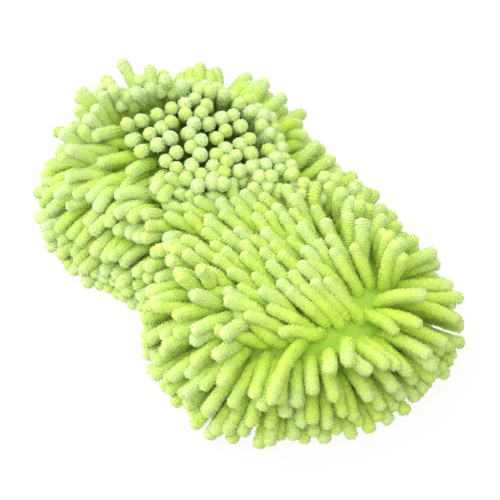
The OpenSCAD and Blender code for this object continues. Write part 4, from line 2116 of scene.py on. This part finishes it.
@dataclass
class Stitching:
    """Sewing thread along the binding and across the strap's ends."""

    binding: EdgeBinding
    strap: HandStrap
    pitch: float = 3.4 * MM
    stitch: float = 2.5 * MM
    thread: float = 0.5 * MM
    grow: tuple[float, float] = (0.94, 1.06)
    sink: float = 0.52
    seam_places: int = 600
    tack_rows: tuple[float, ...] = (1.2 * MM, 3.4 * MM)
    tack_margin: float = 2.5 * MM
    tack_lift: float = 0.12 * MM
    tack_places: int = 40
    seed: int = 5

    def tree(self) -> GeometryTree:
        """Builds the tree that lays stitches along lines.

        Returns:
            The tree.
        """
        tree = GeometryTree("stitches", {"Pitch": float, "Stitch": float, "Thread": float})
        curve = tree.node("GeometryNodeMeshToCurve", {}, {"Mesh": tree.start})
        sockets = {"Curve": curve, "Length": tree.given("Pitch")}
        spots = tree.node("GeometryNodeCurveToPoints", {"mode": "LENGTH"}, sockets)
        bead = tree.node("GeometryNodeMeshUVSphere", {}, {"Segments": 6, "Rings": 5, "Radius": 0.5})
        size = tree.vector_of(tree.given("Thread"), tree.given("Thread"), tree.given("Stitch"))
        bead = tree.smoothed(tree.node("GeometryNodeTransform", {}, {"Geometry": bead, "Scale": size}))
        turn = tree.point_to("Z", spots.other("Tangent"))
        sockets = {"Points": spots, "Instance": bead, "Rotation": turn, "Scale": tree.chance(self.grow)}
        tree.end(tree.node("GeometryNodeInstanceOnPoints", {}, sockets))
        return tree

    def build(self) -> list[bpy.types.Object]:
        """Sews the binding, and tacks down both strap ends.

        Returns:
            The pieces.
        """
        tree = self.tree()
        values = {
            "Pitch": self.pitch, "Stitch": self.stitch, "Thread": self.thread, "Seed": self.seed,
            "Material": THREAD.material(),
        }
        places = np.arange(self.seam_places) / self.seam_places
        plan = self.binding.shell.pad.ring(self.binding.seam, places)[0]
        loop = np.concatenate([plan, np.full((self.seam_places, 1), self.sink * self.thread)], 1)
        seam = tree.run(line_mesh("seam", [loop], {}, True), "binding_stitches", values)
        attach(seam, Body.PAD.value)
        made = [seam]
        for side in Side:
            tack = tree.run(self.tack_lines(side), f"strap_stitches_{side.name.lower()}", values)
            self.strap.hang(tack, side)
            made.append(tack)
        return made

    def tack_lines(self, side: Side) -> bpy.types.Mesh:
        """Draws the lines that hold one end of the strap.

        Args:
            side: the end.

        Returns:
            The lines.
        """
        half = 0.5 * self.strap.width - self.tack_margin
        height = self.strap.top - self.strap.thickness + self.tack_lift
        x = np.linspace(-half, half, self.tack_places)
        rows = [side.value * (self.strap.wall_y - inward) for inward in self.tack_rows]
        lines = [np.stack([x, np.full_like(x, y), np.full_like(x, height)], 1) for y in rows]
        return line_mesh("tack", lines, {})


@dataclass
class Studio:
    """Pale floor, soft light, and the camera at the photograph's angle."""

    camera_at: tuple[float, float, float] = (538.1 * MM, -353.4 * MM, 674.8 * MM)
    aim: tuple[float, float, float] = (9.8 * MM, 0.0, 20.6 * MM)
    lens: float = 126.7
    sensor: float = 36.0
    nearest: float = 0.01
    floor_half: float = 3.0
    floor_glow: float = 0.9
    sky: float = 1.03
    ground: float = 1.03
    tilt: tuple[float, float] = (0.65, 0.1)
    key_at: tuple[float, float, float] = (-0.6, -0.35, 0.75)
    key_size: float = 1.0
    key_watts: float = 1.0
    fill_at: tuple[float, float, float] = (0.5, -0.33, 0.9)
    fill_size: float = 0.8
    fill_watts: float = 3.6

    def floor(self) -> None:
        """Makes the floor, which shows white, keeps the shadow and can be seen through from below."""
        half = self.floor_half
        mesh = bpy.data.meshes.new("floor")
        corners = [(-half, -half, 0.0), (half, -half, 0.0), (half, half, 0.0), (-half, half, 0.0)]
        mesh.from_pydata(corners, [], [(0, 1, 2, 3)])
        made = bpy.data.objects.new("floor", mesh)
        bpy.context.scene.collection.objects.link(made)
        paper = bpy.data.materials.new("white_paper")
        tree = Tree.inside(paper)
        matt = tree.node("ShaderNodeBsdfDiffuse", {}, {"Color": PAPER})
        glow = tree.node("ShaderNodeEmission", {}, {"Color": WHITE, "Strength": 1.0})
        lit = tree.node("ShaderNodeMixShader", {}, {0: tree.seen() * self.floor_glow, 1: matt, 2: glow})
        clear = tree.node("ShaderNodeBsdfTransparent")
        under = tree.node("ShaderNodeNewGeometry", out="Backfacing")
        both = tree.node("ShaderNodeMixShader", {}, {0: under, 1: lit, 2: clear})
        tree.node("ShaderNodeOutputMaterial", {}, {"Surface": both})
        mesh.materials.append(paper)
        made.visible_shadow = False
        made.visible_diffuse = False

    def world(self) -> None:
        """Makes a white sky that is brighter on the left, and shows white to the camera."""
        made = bpy.data.worlds.new("studio")
        tree = Tree.inside(made)
        x, y, z = tree.axes(tree.node("ShaderNodeTexCoord", out="Generated"))
        level = z.ramp(-0.3, 0.5) * (self.sky - self.ground) + self.ground
        level = level * (1.0 - x * self.tilt[0] - y * self.tilt[1])
        seen = tree.seen()
        light = {"Color": WHITE, "Strength": level * (1.0 - seen) + seen}
        tree.node("ShaderNodeOutputWorld", {}, {"Surface": tree.node("ShaderNodeBackground", {}, light)})
        bpy.context.scene.world = made

    def look(
        self,
        name: str,
        data: bpy.types.Light | bpy.types.Camera,
        place: tuple[float, float, float],
    ) -> bpy.types.Object:
        """Puts a lamp or a camera in its place, looking at the mitt.

        Args:
            name: its name.
            data: the lamp or the camera.
            place: its place.

        Returns:
            The object.
        """
        made = bpy.data.objects.new(name, data)
        made.location = place
        made.rotation_mode = "QUATERNION"
        made.rotation_quaternion = (Vector(self.aim) - Vector(place)).to_track_quat("-Z", "Y")
        bpy.context.scene.collection.objects.link(made)
        return made

    def lamp(self, name: str, place: tuple[float, float, float], size: float, watts: float) -> None:
        """Adds a soft square lamp that looks at the mitt.

        Args:
            name: name of the lamp.
            place: its place.
            size: its width.
            watts: its power.
        """
        data = bpy.data.lights.new(name, "AREA")
        data.size = size
        data.energy = watts
        self.look(name, data, place)

    def camera(self) -> None:
        """Adds the camera."""
        data = bpy.data.cameras.new("camera")
        data.sensor_width = self.sensor
        data.lens = self.lens
        data.clip_start = self.nearest
        bpy.context.scene.camera = self.look("camera", data, self.camera_at)

    def build(self) -> None:
        """Sets up the whole studio."""
        self.floor()
        self.world()
        self.lamp("key_light", self.key_at, self.key_size, self.key_watts)
        self.lamp("fill_light", self.fill_at, self.fill_size, self.fill_watts)
        self.camera()
        bpy.context.scene.view_settings.view_transform = "Standard"


def main() -> None:
    """Builds the studio and the mitt's pieces in order."""
    logging.basicConfig(level=logging.INFO, format="%(name)s %(message)s")
    Studio().build()
    pad = PadForm()
    shell = PadShell(pad)
    binding = EdgeBinding(shell)
    strap = HandStrap(pad)
    made = [SpongeCore(shell).build(), CoverCloth(shell).build(), BackPanel(shell).build(), binding.build()]
    made += strap.build()
    made += Stitching(binding, strap).build()
    made += NoodlePile(pad).build()
    for piece in made:
        triangles = len(piece.data.loops) - 2 * len(piece.data.polygons)
        LOG.info("%s: %d triangles", piece.name, triangles)


if __name__ == "__main__":
    main()
